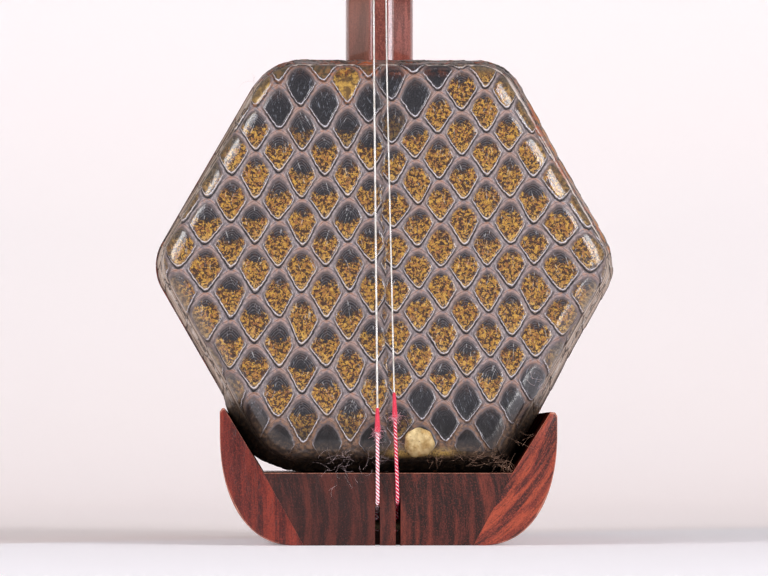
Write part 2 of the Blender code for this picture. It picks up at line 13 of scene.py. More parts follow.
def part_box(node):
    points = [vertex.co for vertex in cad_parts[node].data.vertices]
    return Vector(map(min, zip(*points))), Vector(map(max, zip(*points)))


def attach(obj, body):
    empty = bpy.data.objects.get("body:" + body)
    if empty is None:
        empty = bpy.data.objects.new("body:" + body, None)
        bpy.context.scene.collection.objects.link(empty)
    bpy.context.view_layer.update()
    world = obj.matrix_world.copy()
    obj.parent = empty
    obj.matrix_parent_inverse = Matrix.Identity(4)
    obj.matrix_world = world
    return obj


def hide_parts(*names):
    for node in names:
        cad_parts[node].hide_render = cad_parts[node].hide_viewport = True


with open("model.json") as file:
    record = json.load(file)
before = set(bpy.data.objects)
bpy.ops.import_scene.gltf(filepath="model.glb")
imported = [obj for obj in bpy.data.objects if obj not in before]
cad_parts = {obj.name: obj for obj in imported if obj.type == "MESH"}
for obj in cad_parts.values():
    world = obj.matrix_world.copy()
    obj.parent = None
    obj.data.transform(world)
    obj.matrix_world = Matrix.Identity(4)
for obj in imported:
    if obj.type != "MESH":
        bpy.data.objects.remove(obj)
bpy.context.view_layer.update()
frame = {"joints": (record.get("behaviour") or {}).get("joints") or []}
MM = 0.001

# ---------------------------------------------------------------- frame facts
_lo, _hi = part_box("snakeskin_head")
SKIN_FRONT = _lo.y / MM
SKIN_REAR = _hi.y / MM
HEX_Z = 0.5 * (_lo.z + _hi.z) / MM
SKIN_AP = 0.5 * (_hi.z - _lo.z) / MM
SKIN_T = 0.9
CREASE_Y = SKIN_REAR - 9.2
CREASE_AP = SKIN_AP - 2.3
CREASE_DZ = 0.55
FACE_AP = SKIN_AP - 6.7
CORNER_R = (11.0, 10.5, 13.0, 11.0, 14.0, 8.6)
GAP = 0.3

_lo, _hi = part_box("neck")
NECK_TOP = _hi.z / MM
NECK_HX, NECK_HY = 8.05, 9.0
NECK_SHOULDER = 110.75
NECK_STRAIGHT = 742.0
HEAD_BEND_R, HEAD_TURN = 62.0, 78.0
JOINTS = {j["name"]: j for j in frame["joints"]}
PEG_Z = {"lower": JOINTS["lower_peg_turn"]["pos_m"][2] / MM,
         "upper": JOINTS["upper_peg_turn"]["pos_m"][2] / MM}
PEG_TIP_Y = {w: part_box(w + "_peg")[0].y / MM for w in ("lower", "upper")}
PEG_END_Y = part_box("upper_peg")[1].y / MM
PEG_WIND_Y = {"lower": 0.5 * (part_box("outer_string_winding")[0].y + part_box("outer_string_winding")[1].y) / MM,
              "upper": 0.5 * (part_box("inner_string_winding")[0].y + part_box("inner_string_winding")[1].y) / MM}
INNER_R, OUTER_R, SILK_R = 0.23, 0.18, 0.45
QIANJIN_Z = 0.5 * (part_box("qianjin_loop")[0].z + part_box("qianjin_loop")[1].z) / MM
QIANJIN_Y = -17.0
QIANJIN_H = 8.0
STRING_X = {"inner": (-2.60, -1.88, -1.84), "outer": (0.30, 1.90, 2.81)}
STRING_QX = {"inner": -3.9, "outer": -2.3}
RIM = (-48.75, 105.5)
SILK_TOP = {"inner": 31.4, "outer": 34.8}
PIN_Y, PIN_Z, PIN_R = -45.0, 4.5, 1.0
SLOT_TOP = {"inner": 8.9, "outer": 10.7}
BASE_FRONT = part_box("base_centre_block")[0].y / MM
BASE_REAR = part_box("base_centre_block")[1].y / MM
BASE_FLAT_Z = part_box("base_centre_block")[1].z / MM
BASE_L = dict(outer=-37.4, top=31.0, ledge=-36.4, foot=-27.5, under=-18.7)
BASE_R = dict(outer=38.8, top=30.1, ledge=37.2, foot=28.6, under=20.0)
BASE_CURVE_A, BASE_CURVE_B, BASE_CURVE_N = 17.2, 26.0, 2.28
TACK_X, TACK_Z, TACK_R, TACK_TILT = 7.6, 23.2, 3.4, 12.0


# the outline of one scale, in lattice units
SCALE_HALF, SCALE_MID, SCALE_LOW, SCALE_UP = 0.650, 0.445, 0.445, 0.415
TIP_EPS = 0.26
TIP_NORM = math.sqrt(1 + TIP_EPS ** 2) - TIP_EPS
ARCH_POW = 1.5


# ------------------------------------------------------------- node shorthand
class Sock:
    """A node socket that does arithmetic."""

    def __init__(self, m, k):
        self.m, self.k = m, k

    def __add__(self, o): return self.m.op('ADD', self, o)
    def __radd__(self, o): return self.m.op('ADD', o, self)
    def __sub__(self, o): return self.m.op('SUBTRACT', self, o)
    def __rsub__(self, o): return self.m.op('SUBTRACT', o, self)
    def __mul__(self, o): return self.m.op('MULTIPLY', self, o)
    def __rmul__(self, o): return self.m.op('MULTIPLY', o, self)
    def __truediv__(self, o): return self.m.op('DIVIDE', self, o)
    def __neg__(self): return self.m.op('MULTIPLY', self, -1.0)
    def abs(self): return self.m.op('ABSOLUTE', self)
    def floor(self): return self.m.op('FLOOR', self)
    def pow(self, e): return self.m.op('POWER', self, e)
    def sqrt(self): return self.m.op('SQRT', self)
    def max(self, o): return self.m.op('MAXIMUM', self, o)
    def min(self, o): return self.m.op('MINIMUM', self, o)
    def gt(self, o): return self.m.op('GREATER_THAN', self, o)
    def clamp(self): return self.m.op('ADD', self, 0.0, clamp=True)

    def step(self, a, b):
        """Smooth step from 0 at a to 1 at b."""
        n = self.m.nt.nodes.new('ShaderNodeMapRange')
        n.interpolation_type = 'SMOOTHSTEP'
        self.m.put(n.inputs['Value'], self)
        self.m.put(n.inputs['From Min'], a)
        self.m.put(n.inputs['From Max'], b)
        return Sock(self.m, n.outputs['Result'])

    def bell(self, centre, width):
        t = (self - centre) / width
        return self.m.op('POWER', 2.718282, -(t * t))


class Mat:
    def __init__(self, name, rough=0.5, metallic=0.0, coat=0.0, coat_rough=0.1, spec=0.5):
        self.mat = bpy.data.materials.new(name)
        self.mat.use_nodes = True
        self.nt = self.mat.node_tree
        self.bsdf = self.nt.nodes["Principled BSDF"]
        i = self.bsdf.inputs
        i["Roughness"].default_value = rough
        i["Metallic"].default_value = metallic
        i["Coat Weight"].default_value = coat
        i["Coat Roughness"].default_value = coat_rough
        i["Specular IOR Level"].default_value = spec

    def put(self, inp, v):
        if isinstance(v, Sock):
            self.nt.links.new(v.k, inp)
        elif isinstance(v, (tuple, list)) and len(v) == 3 and len(inp.default_value) == 4:
            inp.default_value = (*v, 1.0)
        else:
            inp.default_value = v

    def op(self, kind, a, b=None, c=None, clamp=False):
        n = self.nt.nodes.new('ShaderNodeMath')
        n.operation = kind
        n.use_clamp = clamp
        for inp, v in zip(n.inputs, (a, b, c)):
            if v is not None:
                self.put(inp, v)
        return Sock(self, n.outputs[0])

    def attr(self, name):
        n = self.nt.nodes.new('ShaderNodeAttribute')
        n.attribute_name = name
        return n

    def split(self, sock):
        n = self.nt.nodes.new('ShaderNodeSeparateXYZ')
        self.put(n.inputs[0], sock)
        return [Sock(self, o) for o in n.outputs]

    def join(self, x, y, z):
        n = self.nt.nodes.new('ShaderNodeCombineXYZ')
        for inp, v in zip(n.inputs, (x, y, z)):
            self.put(inp, v)
        return Sock(self, n.outputs[0])

    def place(self):
        """Object coordinates in millimetres, split in three."""
        n = self.nt.nodes.new('ShaderNodeTexCoord')
        s = self.split(Sock(self, n.outputs['Object']))
        return [c * 1000.0 for c in s]

    def noise(self, vec, scale=1.0, detail=2.0, rough=0.5, distort=0.0):
        n = self.nt.nodes.new('ShaderNodeTexNoise')
        self.put(n.inputs['Vector'], vec)
        n.inputs['Scale'].default_value = scale
        n.inputs['Detail'].default_value = detail
        n.inputs['Roughness'].default_value = rough
        n.inputs['Distortion'].default_value = distort
        return Sock(self, n.outputs['Fac'])

    def voronoi(self, vec, scale=1.0, feature='F1'):
        n = self.nt.nodes.new('ShaderNodeTexVoronoi')
        n.feature = feature
        self.put(n.inputs['Vector'], vec)
        n.inputs['Scale'].default_value = scale
        return Sock(self, n.outputs['Distance'])

    def mix(self, fac, a, b, blend='MIX'):
        n = self.nt.nodes.new('ShaderNodeMix')
        n.data_type = 'RGBA'
        n.blend_type = blend
        n.clamp_factor = True
        self.put(n.inputs[0], fac)
        self.put(n.inputs[6], a)
        self.put(n.inputs[7], b)
        return Sock(self, n.outputs[2])

    def color(self, v): self.put(self.bsdf.inputs["Base Color"], v)
    def rough(self, v): self.put(self.bsdf.inputs["Roughness"], v)

    def bump(self, height, distance=0.0001, strength=1.0):
        """height is in millimetres when distance is 0.001."""
        n = self.nt.nodes.new('ShaderNodeBump')
        n.inputs['Strength'].default_value = strength
        n.inputs['Distance'].default_value = distance
        self.put(n.inputs['Height'], height)
        self.nt.links.new(n.outputs['Normal'], self.bsdf.inputs['Normal'])
        coat = self.bsdf.inputs.get('Coat Normal')
        if coat is not None:
            self.nt.links.new(n.outputs['Normal'], coat)


def srgb(r, g, b):
    return tuple(c / 12.92 if c <= 0.04045 else ((c + 0.055) / 1.055) ** 2.4
                 for c in (r / 255, g / 255, b / 255))


# ------------------------------------------------------------- mesh shorthand
def new_mesh(name, verts, faces, mat, body, replaces=(), smooth=40, flip=False):
    """verts in millimetres; rides on body and takes its finish from mat."""
    mesh = bpy.data.meshes.new(name)
    mesh.from_pydata([tuple(c * MM for c in v) for v in verts], [], [tuple(f) for f in faces])
    mesh.validate()
    bm = bmesh.new()
    bm.from_mesh(mesh)
    bmesh.ops.remove_doubles(bm, verts=bm.verts, dist=1e-7)
    bmesh.ops.recalc_face_normals(bm, faces=bm.faces)
    bm.to_mesh(mesh)
    bm.free()
    if smooth is not None:
        mesh.shade_smooth()
        mesh.set_sharp_from_angle(angle=math.radians(smooth))
    ob = bpy.data.objects.new(name, mesh)
    bpy.context.scene.collection.objects.link(ob)
    mesh.materials.append(mat)
    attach(ob, body)
    if replaces:
        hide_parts(*replaces)
    return ob


def loft_data(sections):
    verts, faces = [], []
    n = len(sections[0])
    for sec in sections:
        verts.extend([tuple(p) for p in sec])
    for k in range(len(sections) - 1):
        for i in range(n):
            j = (i + 1) % n
            faces.append((k * n + i, k * n + j, (k + 1) * n + j, (k + 1) * n + i))
    faces.append(tuple(reversed(range(n))))
    faces.append(tuple(range((len(sections) - 1) * n, len(sections) * n)))
    return verts, faces


def lathe_data(profile, cx, cz, segments=64, flute=None, closed=False):
    verts, faces, rings = [], [], []
    for y, r in profile:
        if r <= 0:
            rings.append([len(verts)])
            verts.append((cx, y, cz))
            continue
        ring = []
        for i in range(segments):
            a = 2 * math.pi * i / segments
            rr = r * (flute(y, a) if flute else 1.0)
            ring.append(len(verts))
            verts.append((cx + rr * math.cos(a), y, cz + rr * math.sin(a)))
        rings.append(ring)
    pairs = list(zip(rings, rings[1:]))
    if closed:
        pairs.append((rings[-1], rings[0]))
    for a, b in pairs:
        for i in range(segments):
            j = (i + 1) % segments
            if len(a) == 1 and len(b) == 1:
                continue
            if len(a) == 1:
                faces.append((a[0], b[j], b[i]))
            elif len(b) == 1:
                faces.append((a[i], a[j], b[0]))
            else:
                faces.append((a[i], a[j], b[j], b[i]))
    return verts, faces


def add_bevel(ob, width, segments=3, angle=35):
    m = ob.modifiers.new("arris", 'BEVEL')
    m.width = width * MM
    m.segments = segments
    m.limit_method = 'ANGLE'
    m.angle_limit = math.radians(angle)
    m.harden_normals = False
    return m


def cut_with(ob, verts, faces):
    """Boolean cut, applied at once, with a throwaway tool."""
    mesh = bpy.data.meshes.new("tool")
    mesh.from_pydata([tuple(c * MM for c in v) for v in verts], [], faces)
    bm = bmesh.new()
    bm.from_mesh(mesh)
    bmesh.ops.recalc_face_normals(bm, faces=bm.faces)
    bm.to_mesh(mesh)
    bm.free()
    tool = bpy.data.objects.new("tool", mesh)
    bpy.context.scene.collection.objects.link(tool)
    mod = ob.modifiers.new("cut", 'BOOLEAN')
    mod.operation = 'DIFFERENCE'
    mod.solver = 'EXACT'
    mod.object = tool
    bpy.context.view_layer.update()
    dg = bpy.context.evaluated_depsgraph_get()
    out = bpy.data.meshes.new_from_object(ob.evaluated_get(dg))
    ob.modifiers.remove(mod)
    old = ob.data
    ob.data = out
    bpy.data.meshes.remove(old)
    bpy.data.objects.remove(tool, do_unlink=True)
    bpy.data.meshes.remove(mesh)


def cylinder_data(p0, p1, r, segments=48):
    p0, p1 = Vector(p0), Vector(p1)
    axis = (p1 - p0).normalized()
    side = axis.orthogonal().normalized()
    other = axis.cross(side)
    return loft_data([[p + r * (math.cos(a) * side + math.sin(a) * other)
                       for a in (2 * math.pi * i / segments for i in range(segments))]
                      for p in (p0, p1)])


def catmull(points, step):
    pts = [Vector(p) for p in points]
    pts = [2 * pts[0] - pts[1]] + pts + [2 * pts[-1] - pts[-2]]
    out = []
    for i in range(1, len(pts) - 2):
        p0, p1, p2, p3 = pts[i - 1:i + 3]
        t01 = max((p1 - p0).length ** 0.5, 1e-6)
        t12 = max((p2 - p1).length ** 0.5, 1e-6)
        t23 = max((p3 - p2).length ** 0.5, 1e-6)
        m1 = (p2 - p1) + t12 * ((p1 - p0) / t01 - (p2 - p0) / (t01 + t12))
        m2 = (p2 - p1) + t12 * ((p3 - p2) / t23 - (p3 - p1) / (t12 + t23))
        n = max(1, int(round((p2 - p1).length / step)))
        for k in range(n):
            t = k / n
            h = (2 * t ** 3 - 3 * t * t + 1, t ** 3 - 2 * t * t + t,
                 -2 * t ** 3 + 3 * t * t, t ** 3 - t * t)
            out.append(h[0] * p1 + h[1] * m1 + h[2] * p2 + h[3] * m2)
    out.append(pts[-2])
    return out


def resample(path, step):
    """Points an even distance apart along a polyline, with arc lengths."""
    seg = [(b - a).length for a, b in zip(path, path[1:])]
    total = sum(seg)
    n = max(2, int(round(total / step)))
    out, i, s0 = [], 0, 0.0
    for k in range(n + 1):
        s = total * k / n
        while i < len(seg) - 1 and s > s0 + seg[i]:
            s0 += seg[i]
            i += 1
        t = min(1.0, (s - s0) / max(seg[i], 1e-9))
        out.append(path[i].lerp(path[i + 1], t))
    return out, total


def carried_frames(path):
    """Two sideways directions at each point, carried along without twisting."""
    tang = []
    for i in range(len(path)):
        a, b = path[max(0, i - 1)], path[min(len(path) - 1, i + 1)]
        tang.append((b - a).normalized())
    n = Vector((1, 0, 0))
    out = []
    for t in tang:
        n = (n - t * n.dot(t)).normalized()
        out.append((t, n, t.cross(n)))
    return out


def tube_data(path, radius, sides=12, frames=None, base=0):
    """Closed tube; radius is a number or a function of the point's index."""
    frames = frames or carried_frames(path)
    verts, faces = [], []
    for i, (p, (t, n, b)) in enumerate(zip(path, frames)):
        r = radius(i) if callable(radius) else radius
        for k in range(sides):
            a = 2 * math.pi * k / sides
            verts.append(tuple(p + r * (math.cos(a) * n + math.sin(a) * b)))
    m = len(path)
    for i in range(m - 1):
        for k in range(sides):
            j = (k + 1) % sides
            faces.append((base + i * sides + k, base + i * sides + j,
                          base + (i + 1) * sides + j, base + (i + 1) * sides + k))
    faces.append(tuple(base + k for k in reversed(range(sides))))
    faces.append(tuple(base + (m - 1) * sides + k for k in range(sides)))
    return verts, faces


# ------------------------------------------------------------------ materials
def wood(name, dark, mid, light, grain='z', figure=0.30, rough=0.38, seed=0.0, diagonal=0.0,
         contrast=0.5, coat=0.1, bow=0.0, pivot=0.0, red_at=None, spec=0.3, slope=False, coat_rough=0.18, lit_x=None, relief=1.0, tone=None):
    """Rosewood: broad dark and red figure, finer veins, granular fibre, short dark pores.

    grain is the axis that the fibres follow; diagonal turns the figure in the
    front plane (radians) and bow curves it; figure is veins per millimetre.
    """
    m = Mat(name, rough=rough, coat=coat, coat_rough=coat_rough, spec=spec)
    x, y, z = m.place()
    if diagonal:
        c, s_ = math.cos(diagonal), math.sin(diagonal)
        x, z = x * c + z * s_, z * c - x * s_
    if bow:
        x = x + (z - pivot) * (z - pivot) * bow
    if grain == 'z':
        across, depth, along = x, y, z
    elif grain == 'y':
        across, depth, along = x, z, y
    else:
        across, depth, along = z, y, x
    v = m.join(across + seed, depth * 0.45 + seed, along * 0.10 + seed)
    wide = m.noise(v, figure, 2.0, 0.5, 0.35)
    vein = m.noise(m.join(across + seed, depth * 0.5, along * 0.07 + seed), figure * 2.9, 3.0, 0.6, 0.3)
    fibre = m.noise(m.join(across, depth, along * 0.16 + seed), 1.9, 3.0, 0.70)
    speck = m.noise(m.join(across, depth, along * 0.6 + seed), 2.2, 3.0, 0.7)
    pores = m.noise(m.join(across, depth, along * 0.14 + seed * 2), 2.9, 1.5, 0.5)
    grit = m.noise(m.join(across, depth, along * 0.75 + seed), 3.6, 2.0, 0.65)
    w = 0.5 + (wide - 0.5) * (1.0 + contrast)
    col = m.mix(w.step(0.42, 0.52), dark, mid)
    col = m.mix(w.step(0.52, 0.66) * contrast * 1.2, col, light)
    col = m.mix(((1.0 - vein.step(0.34, 0.48)) * contrast * 0.80).clamp(), col, dark)
    col = m.mix((vein.step(0.54, 0.68) * contrast * 0.50).clamp(), col, light)
    if red_at:
        cx, wd = red_at
        patch = x.bell(cx, wd) * vein.step(0.38, 0.56)
        col = m.mix((patch * 0.8).clamp(), col, light)
    col = m.mix(fibre.step(0.46, 0.70) * 0.20, col, tuple(min(1.0, c * 1.3) for c in light))
    col = m.mix((1.0 - fibre.step(0.32, 0.50)) * 0.34, col, tuple(c * 0.70 for c in dark))
    col = m.mix(speck.step(0.54, 0.66) * 0.30, col, tuple(c * 0.8 for c in dark))
    col = m.mix((1.0 - speck.step(0.34, 0.44)) * 0.22, col, light)
    col = m.mix(pores.step(0.64, 0.72) * 0.35, col, tuple(c * 0.40 for c in dark))
    col = m.mix(grit.step(0.52, 0.64) * 0.40, col, tuple(c * 0.55 for c in dark))
    col = m.mix((1.0 - grit.step(0.36, 0.47)) * 0.34, col, tuple(min(1.0, c * 1.25) for c in light))
    if tone:
        x0, x1, part, shade = tone
        col = m.mix((1.0 - x.step(x0, x1)) * part, col, shade)
    if slope:
        face = Sock(m, m.attr("slope").outputs['Fac'])
        seat = face
        if lit_x is not None:
            face = face * x.step(lit_x, lit_x + 3.0)
        worn_edge_highlight = Sock(m, m.attr("arris").outputs['Fac'])
        # worn front arrises: a lighter worn colour with a painted highlight
        col = m.mix((worn_edge_highlight * (0.30 + fibre.step(0.36, 0.60) * 0.60)).clamp(), col, srgb(190, 128, 108))
        # painted shade: seat faces that the resonator hides turn dark, lose their gloss and grow rough; faces left of
        # lit_x stay lit
        col = m.mix(face * 0.85, col, tuple(c * 0.16 for c in dark))
        m.put(m.bsdf.inputs["Specular IOR Level"], spec - face * spec)
        m.put(m.bsdf.inputs["Coat Weight"], (coat - face * coat + (seat - face)).clamp())
        m.rough(rough + (fibre - 0.5) * 0.22 + face * 0.5)
    else:
        m.rough(rough + (fibre - 0.5) * 0.22 + pores.step(0.62, 0.70) * 0.2)
    m.color(col)
    m.bump(((fibre - 0.5) * 0.030 - pores.step(0.62, 0.70) * 0.030 + (speck - 0.5) * 0.012) * relief, 0.001)
    return m.mat


def skin_material():
    m = Mat("snakeskin_varnished", rough=0.40, coat=0.30, coat_rough=0.09, spec=0.30)
    m.bsdf.inputs["Coat IOR"].default_value = 1.75
    x, y, z = m.place()
    lat_l = m.split(Sock(m, m.attr("lat_left").outputs['Vector']))
    lat_r = m.split(Sock(m, m.attr("lat_right").outputs['Vector']))
    right = lat_l[2].gt(0.0)

    def sw(a, b):
        return a + (b - a) * right
    u, v = sw(lat_l[0], lat_r[0]), sw(lat_l[1], lat_r[1])

    # small ragged wander of every edge
    wob = m.noise(m.join(x, 0.0, z), 0.9, 3.0, 0.55)
    wob2 = m.noise(m.join(x + 31.0, 7.0, z), 0.9, 3.0, 0.55)
    u = u + (wob - 0.5) * 0.10
    v = v + (wob2 - 0.5) * 0.06

    cand = []
    for parity in (0.0, 1.0):
        k = ((u - parity) * 0.5 + 0.5).floor() * 2.0 + parity
        n = (v + (SCALE_MID - 0.5 * parity) + 0.5).floor() + 0.5 * parity
        sx = (u - k) * (1 / SCALE_HALF)
        dx = sx.abs()
        dy = v - n + SCALE_MID
        lower = ((dx * dx + TIP_EPS ** 2).sqrt() - TIP_EPS) * (1 / TIP_NORM) + dy * (1 / SCALE_LOW)
        upper = (dx.max(0.0001).pow(ARCH_POW) + (dy.abs() * (1 / SCALE_UP)).max(0.0001).pow(ARCH_POW)).pow(1 / ARCH_POW)
        down = dy.gt(0.0)
        s = lower * down + upper * (1.0 - down)
        cand.append((s, sx, dy))
    first = cand[1][0].gt(cand[0][0])
    s = cand[0][0].min(cand[1][0])
    other = cand[0][0].max(cand[1][0])
    sx = cand[1][1] + (cand[0][1] - cand[1][1]) * first
    dy = cand[1][2] + (cand[0][2] - cand[1][2]) * first

    cell = m.split(Sock(m, m.attr("cell").outputs['Vector']))       # dark, random, gold line
    zone = m.split(Sock(m, m.attr("zone").outputs['Vector']))       # side band, painted shade low down, blotch
    stain = m.split(Sock(m, m.attr("stain").outputs['Vector']))     # orange, brass, seam

    lowm = dy.step(-0.08, 0.05)
    upm = 1.0 - dy.step(-0.06, 0.12)
    plane = m.join(x, 0.0, z)
    n_fine = m.noise(plane, 2.6, 4.0, 0.62)
    n_mid = m.noise(plane, 1.15, 3.0, 0.6)
    n_big = m.noise(plane, 0.16, 3.0, 0.55)
    speck = m.noise(m.join(x, 5.0, z), 1.55, 2.5, 0.70, 0.6)
    speck2 = m.noise(m.join(x, 15.0, z), 1.9, 3.0, 0.66, 0.4)
    lean = (cell[1] - 0.5) * 1.1
    hair = m.noise(m.join(x + z * lean, 9.0, z * 0.10), 3.4, 1.0, 0.5, 0.05)
    hair2 = m.noise(m.join(x - z * (lean * 0.7 + 0.3), 19.0, z * 0.12), 3.0, 1.0, 0.5, 0.05)
    foot = 1.0 - z.step(HEX_Z - 40.0, HEX_Z - 30.0)

    # bands between the scales
    band = m.mix(n_mid.step(0.38, 0.64), srgb(119, 110, 113), srgb(160, 150, 151))
    band = m.mix(n_fine.step(0.52, 0.70) * 0.50, band, srgb(96, 84, 90))
    arch = s.bell(1.20, 0.17) * upm * sx.bell(0.0, 0.55)
    band = m.mix((arch * n_mid.step(0.36, 0.60) * 0.85).clamp(), band, srgb(168, 118, 90))
    band = m.mix(n_big.step(0.46, 0.62) * 0.38, band, srgb(150, 120, 104))
    band = m.mix(cell[0] * n_mid.step(0.40, 0.60) * 0.75, band, srgb(142, 108, 92))
    # fine creases that echo each scale's outline
    ripple = m.op('SINE', s * 52.0 + n_mid * 6.0)
    band = m.mix((ripple.step(0.30, 1.0) * 0.48 * s.step(1.06, 1.16)).clamp(), band, srgb(88, 72, 70))
    band = m.mix(((-ripple).step(0.45, 1.0) * 0.30 * s.step(1.06, 1.16)).clamp(), band, srgb(190, 180, 184))

    # inside a scale: black cap, gold speckled with brown below it
    black = m.mix(n_fine.step(0.35, 0.70), srgb(20, 20, 25), srgb(46, 45, 51))
    black = m.mix((1.0 - dy.step(-0.36, -0.12)) * n_mid.step(0.40, 0.60) * 0.75, black, srgb(70, 50, 44))
    wisp = (hair.step(0.60, 0.70) * 0.50 + hair2.step(0.62, 0.72) * 0.40) * n_mid.step(0.44, 0.60)
    keep = 1.0 - s.step(0.84, 0.98)
    arcs = m.op('SINE', s * 46.0 + n_mid * 5.0).step(0.0, 1.0) * upm * s.step(0.30, 0.55)
    black = m.mix((arcs * (0.55 - cell[0] * 0.35)).clamp(), black, srgb(104, 99, 104))
    black = m.mix((wisp * keep * (1.0 - foot * 0.7)).clamp(), black, srgb(146, 150, 162))
    gold = m.mix(n_mid.step(0.36, 0.62), srgb(146, 102, 40), srgb(195, 152, 68))
    gold = m.mix(speck2.step(0.50, 0.56) * 0.85, gold, srgb(136, 84, 54))
    gold = m.mix(speck.step(0.480, 0.535) * (1.0 - zone[2] * 0.85) * 0.96, gold, srgb(52, 32, 28))
    gold = m.mix(dy.step(0.18, 0.42) * (1.0 - speck.step(0.47, 0.53)) * 0.45, gold, srgb(226, 188, 112))
    cap = (sx * sx * 2.4 + (dy + 0.42) * (dy + 0.42) * 15.0).sqrt()
    edge = cap - 1.0 - cell[2] * 4.0 + (speck - 0.5) * 2.6 + (n_mid - 0.5) * 1.8
    goldm = edge.step(-0.10, 0.12) * (1.0 - cell[0])
    inside = m.mix(goldm.clamp(), black, gold)
    inside = m.mix((hair.step(0.64, 0.72) * 0.45 * n_mid.step(0.42, 0.56) * (1.0 - dy.step(-0.05, 0.30)) * keep * (1.0 - cell[0])).clamp(),
                   inside, srgb(196, 194, 190))
    # greyed margin of a scale, then a dark hairline inside the lip
    inside = m.mix((s.step(0.80, 0.98) * upm * (0.35 + n_mid * 0.7)).clamp(), inside, srgb(116, 104, 104))
    inside = m.mix((s.bell(0.895, 0.050) * lowm * 0.55).clamp(), inside, srgb(60, 50, 50))

    body = m.mix(s.step(0.95, 1.05), inside, band)
    # the free lower edge: pale lip, a lighter edge with a painted highlight on it, and a painted black shadow line
    # below it
    lip_highlight = s.bell(0.970, 0.026) * lowm * (0.30 + n_fine.step(0.34, 0.58) * 0.80)
    line = s.bell(1.092, 0.072) * lowm
    body = m.mix((line * (0.60 + dy.step(0.02, 0.22) * 0.45)).clamp(), body, srgb(22, 18, 21))
    body = m.mix(lip_highlight.clamp(), body, srgb(222, 220, 228))
    # painted shade: soft dark rounding in the groove under the arch
    body = m.mix((s.bell(1.00, 0.060) * upm * 0.40).clamp(), body, srgb(60, 48, 48))

    # amber patches that fill a scale, rusty at the rim
    blot = m.noise(m.join(x, 25.0, z), 0.85, 3.0, 0.6, 0.3)
    amber = m.mix(blot.step(0.42, 0.60), srgb(104, 78, 44), srgb(176, 138, 66))
    amber = m.mix(blot.step(0.56, 0.66) * dy.step(-0.2, 0.1) * 0.6, amber, srgb(206, 170, 84))
    amber = m.mix((speck.step(0.47, 0.56) * (1.0 - dy.step(-0.14, 0.12)) * 0.9).clamp(), amber, srgb(48, 38, 32))
    olive = m.mix(blot.step(0.44, 0.58), srgb(66, 60, 46), srgb(116, 92, 62))
    olive = m.mix(n_mid.step(0.54, 0.64) * 0.35, olive, srgb(134, 84, 56))
    amber = m.mix(((0.95 - zone[2]) * 3.0).clamp(), amber, olive)
    body = m.mix((zone[2].step(0.1, 0.5) * (1.0 - s.step(0.86, 0.99)) * 0.95).clamp(), body, amber)
    body = m.mix((zone[2] * s.bell(1.10, 0.12) * n_mid.step(0.42, 0.58) * 0.55).clamp(), body, srgb(166, 106, 66))
    # scales turn olive and clear where they roll over the rim; lower down the olive is stronger and the bands darker,
    # partly painted shade
    roll = lat_r[2].step(-5.8, -2.2) * (1.0 - zone[0])
    under = 1.0 - z.step(HEX_Z - 16.0, HEX_Z + 12.0)
    body = m.mix((roll * (1.0 - s.step(0.88, 1.0)) * (1.0 - cell[0]) * (0.58 + under * 0.27)).clamp(), body,
                 m.mix(n_mid.step(0.40, 0.60), srgb(76, 63, 50), srgb(138, 117, 90)))
    body = m.mix((roll * under * s.step(0.96, 1.06) * 0.5).clamp(), body, srgb(84, 72, 66))
    # browner, darker towards the foot
    body = m.mix((foot * s.step(0.97, 1.07) * 0.78).clamp(), body, m.mix(n_mid.step(0.38, 0.62), srgb(62, 46, 38), srgb(128, 94, 68)))
    body = m.mix((foot * (1.0 - s.step(0.86, 0.95)) * 0.80 * cell[0]).clamp(), body, srgb(19, 15, 16))
    # seam down the middle
    body = m.mix((stain[2].min(1.0) * n_fine.step(0.30, 0.60) * 0.45).clamp(), body, srgb(70, 58, 58))

    # side band: beige strips parted by dark, torn lines; scales show through
    back = lat_r[2]
    streak = m.noise(m.join(lat_l[0] * 0.35, back * 0.9, lat_l[1] * 0.35), 1.6, 3.0, 0.6)
    tear = m.noise(m.join(x, y * 0.35, z), 0.42, 3.0, 0.65)
    mott = m.noise(m.join(x, y * 0.5, z), 1.3, 3.0, 0.65)
    side = m.mix(streak.step(0.36, 0.60), srgb(106, 84, 70), srgb(196, 176, 160))
    side = m.mix(n_fine.step(0.54, 0.68) * 0.6, side, srgb(64, 50, 44))
    side = m.mix((line * 0.85 + ripple.step(0.6, 1.0) * 0.25).clamp(), side, srgb(44, 34, 32))
    rip = (back + (tear - 0.5) * 6.0).bell(4.6, 0.75)
    side = m.mix((rip * tear.step(0.36, 0.50)).clamp(), side, srgb(38, 28, 26))
    side = m.mix((rip * (1.0 - tear.step(0.44, 0.52)) * 0.6).clamp(), side, srgb(214, 204, 196))
    side = m.mix(back.step(8.2, 9.0) * 0.92, side, srgb(40, 30, 27))
    # painted shade on the side band low down
    side = m.mix(cell[0] * 0.0 + zone[1] * 0.8, side, srgb(52, 42, 38))
    murk = m.mix(mott.step(0.49, 0.60), srgb(16, 13, 14), srgb(132, 118, 108))
    murk = m.mix((tear.bell(0.58, 0.03) * 0.8).clamp(), murk, srgb(176, 84, 42))
    flank = x.step(28.0, 36.0)
    murk = m.mix((back.bell(6.8, 1.6) * tear.step(0.36, 0.46) * flank * 0.9).clamp(), murk, srgb(206, 134, 56))
    murk = m.mix((back.bell(6.0, 1.2) * tear.step(0.56, 0.60) * flank * 0.8).clamp(), murk, srgb(186, 66, 48))
    murk = m.mix((streak.step(0.50, 0.58) * 0.75).clamp(), murk, srgb(176, 168, 170))
    upper_rim = (stain[2] - 1.0).clamp()
    side = m.mix(upper_rim * 0.92, side, murk)
    body = m.mix(zone[0] * 0.95, body, side)
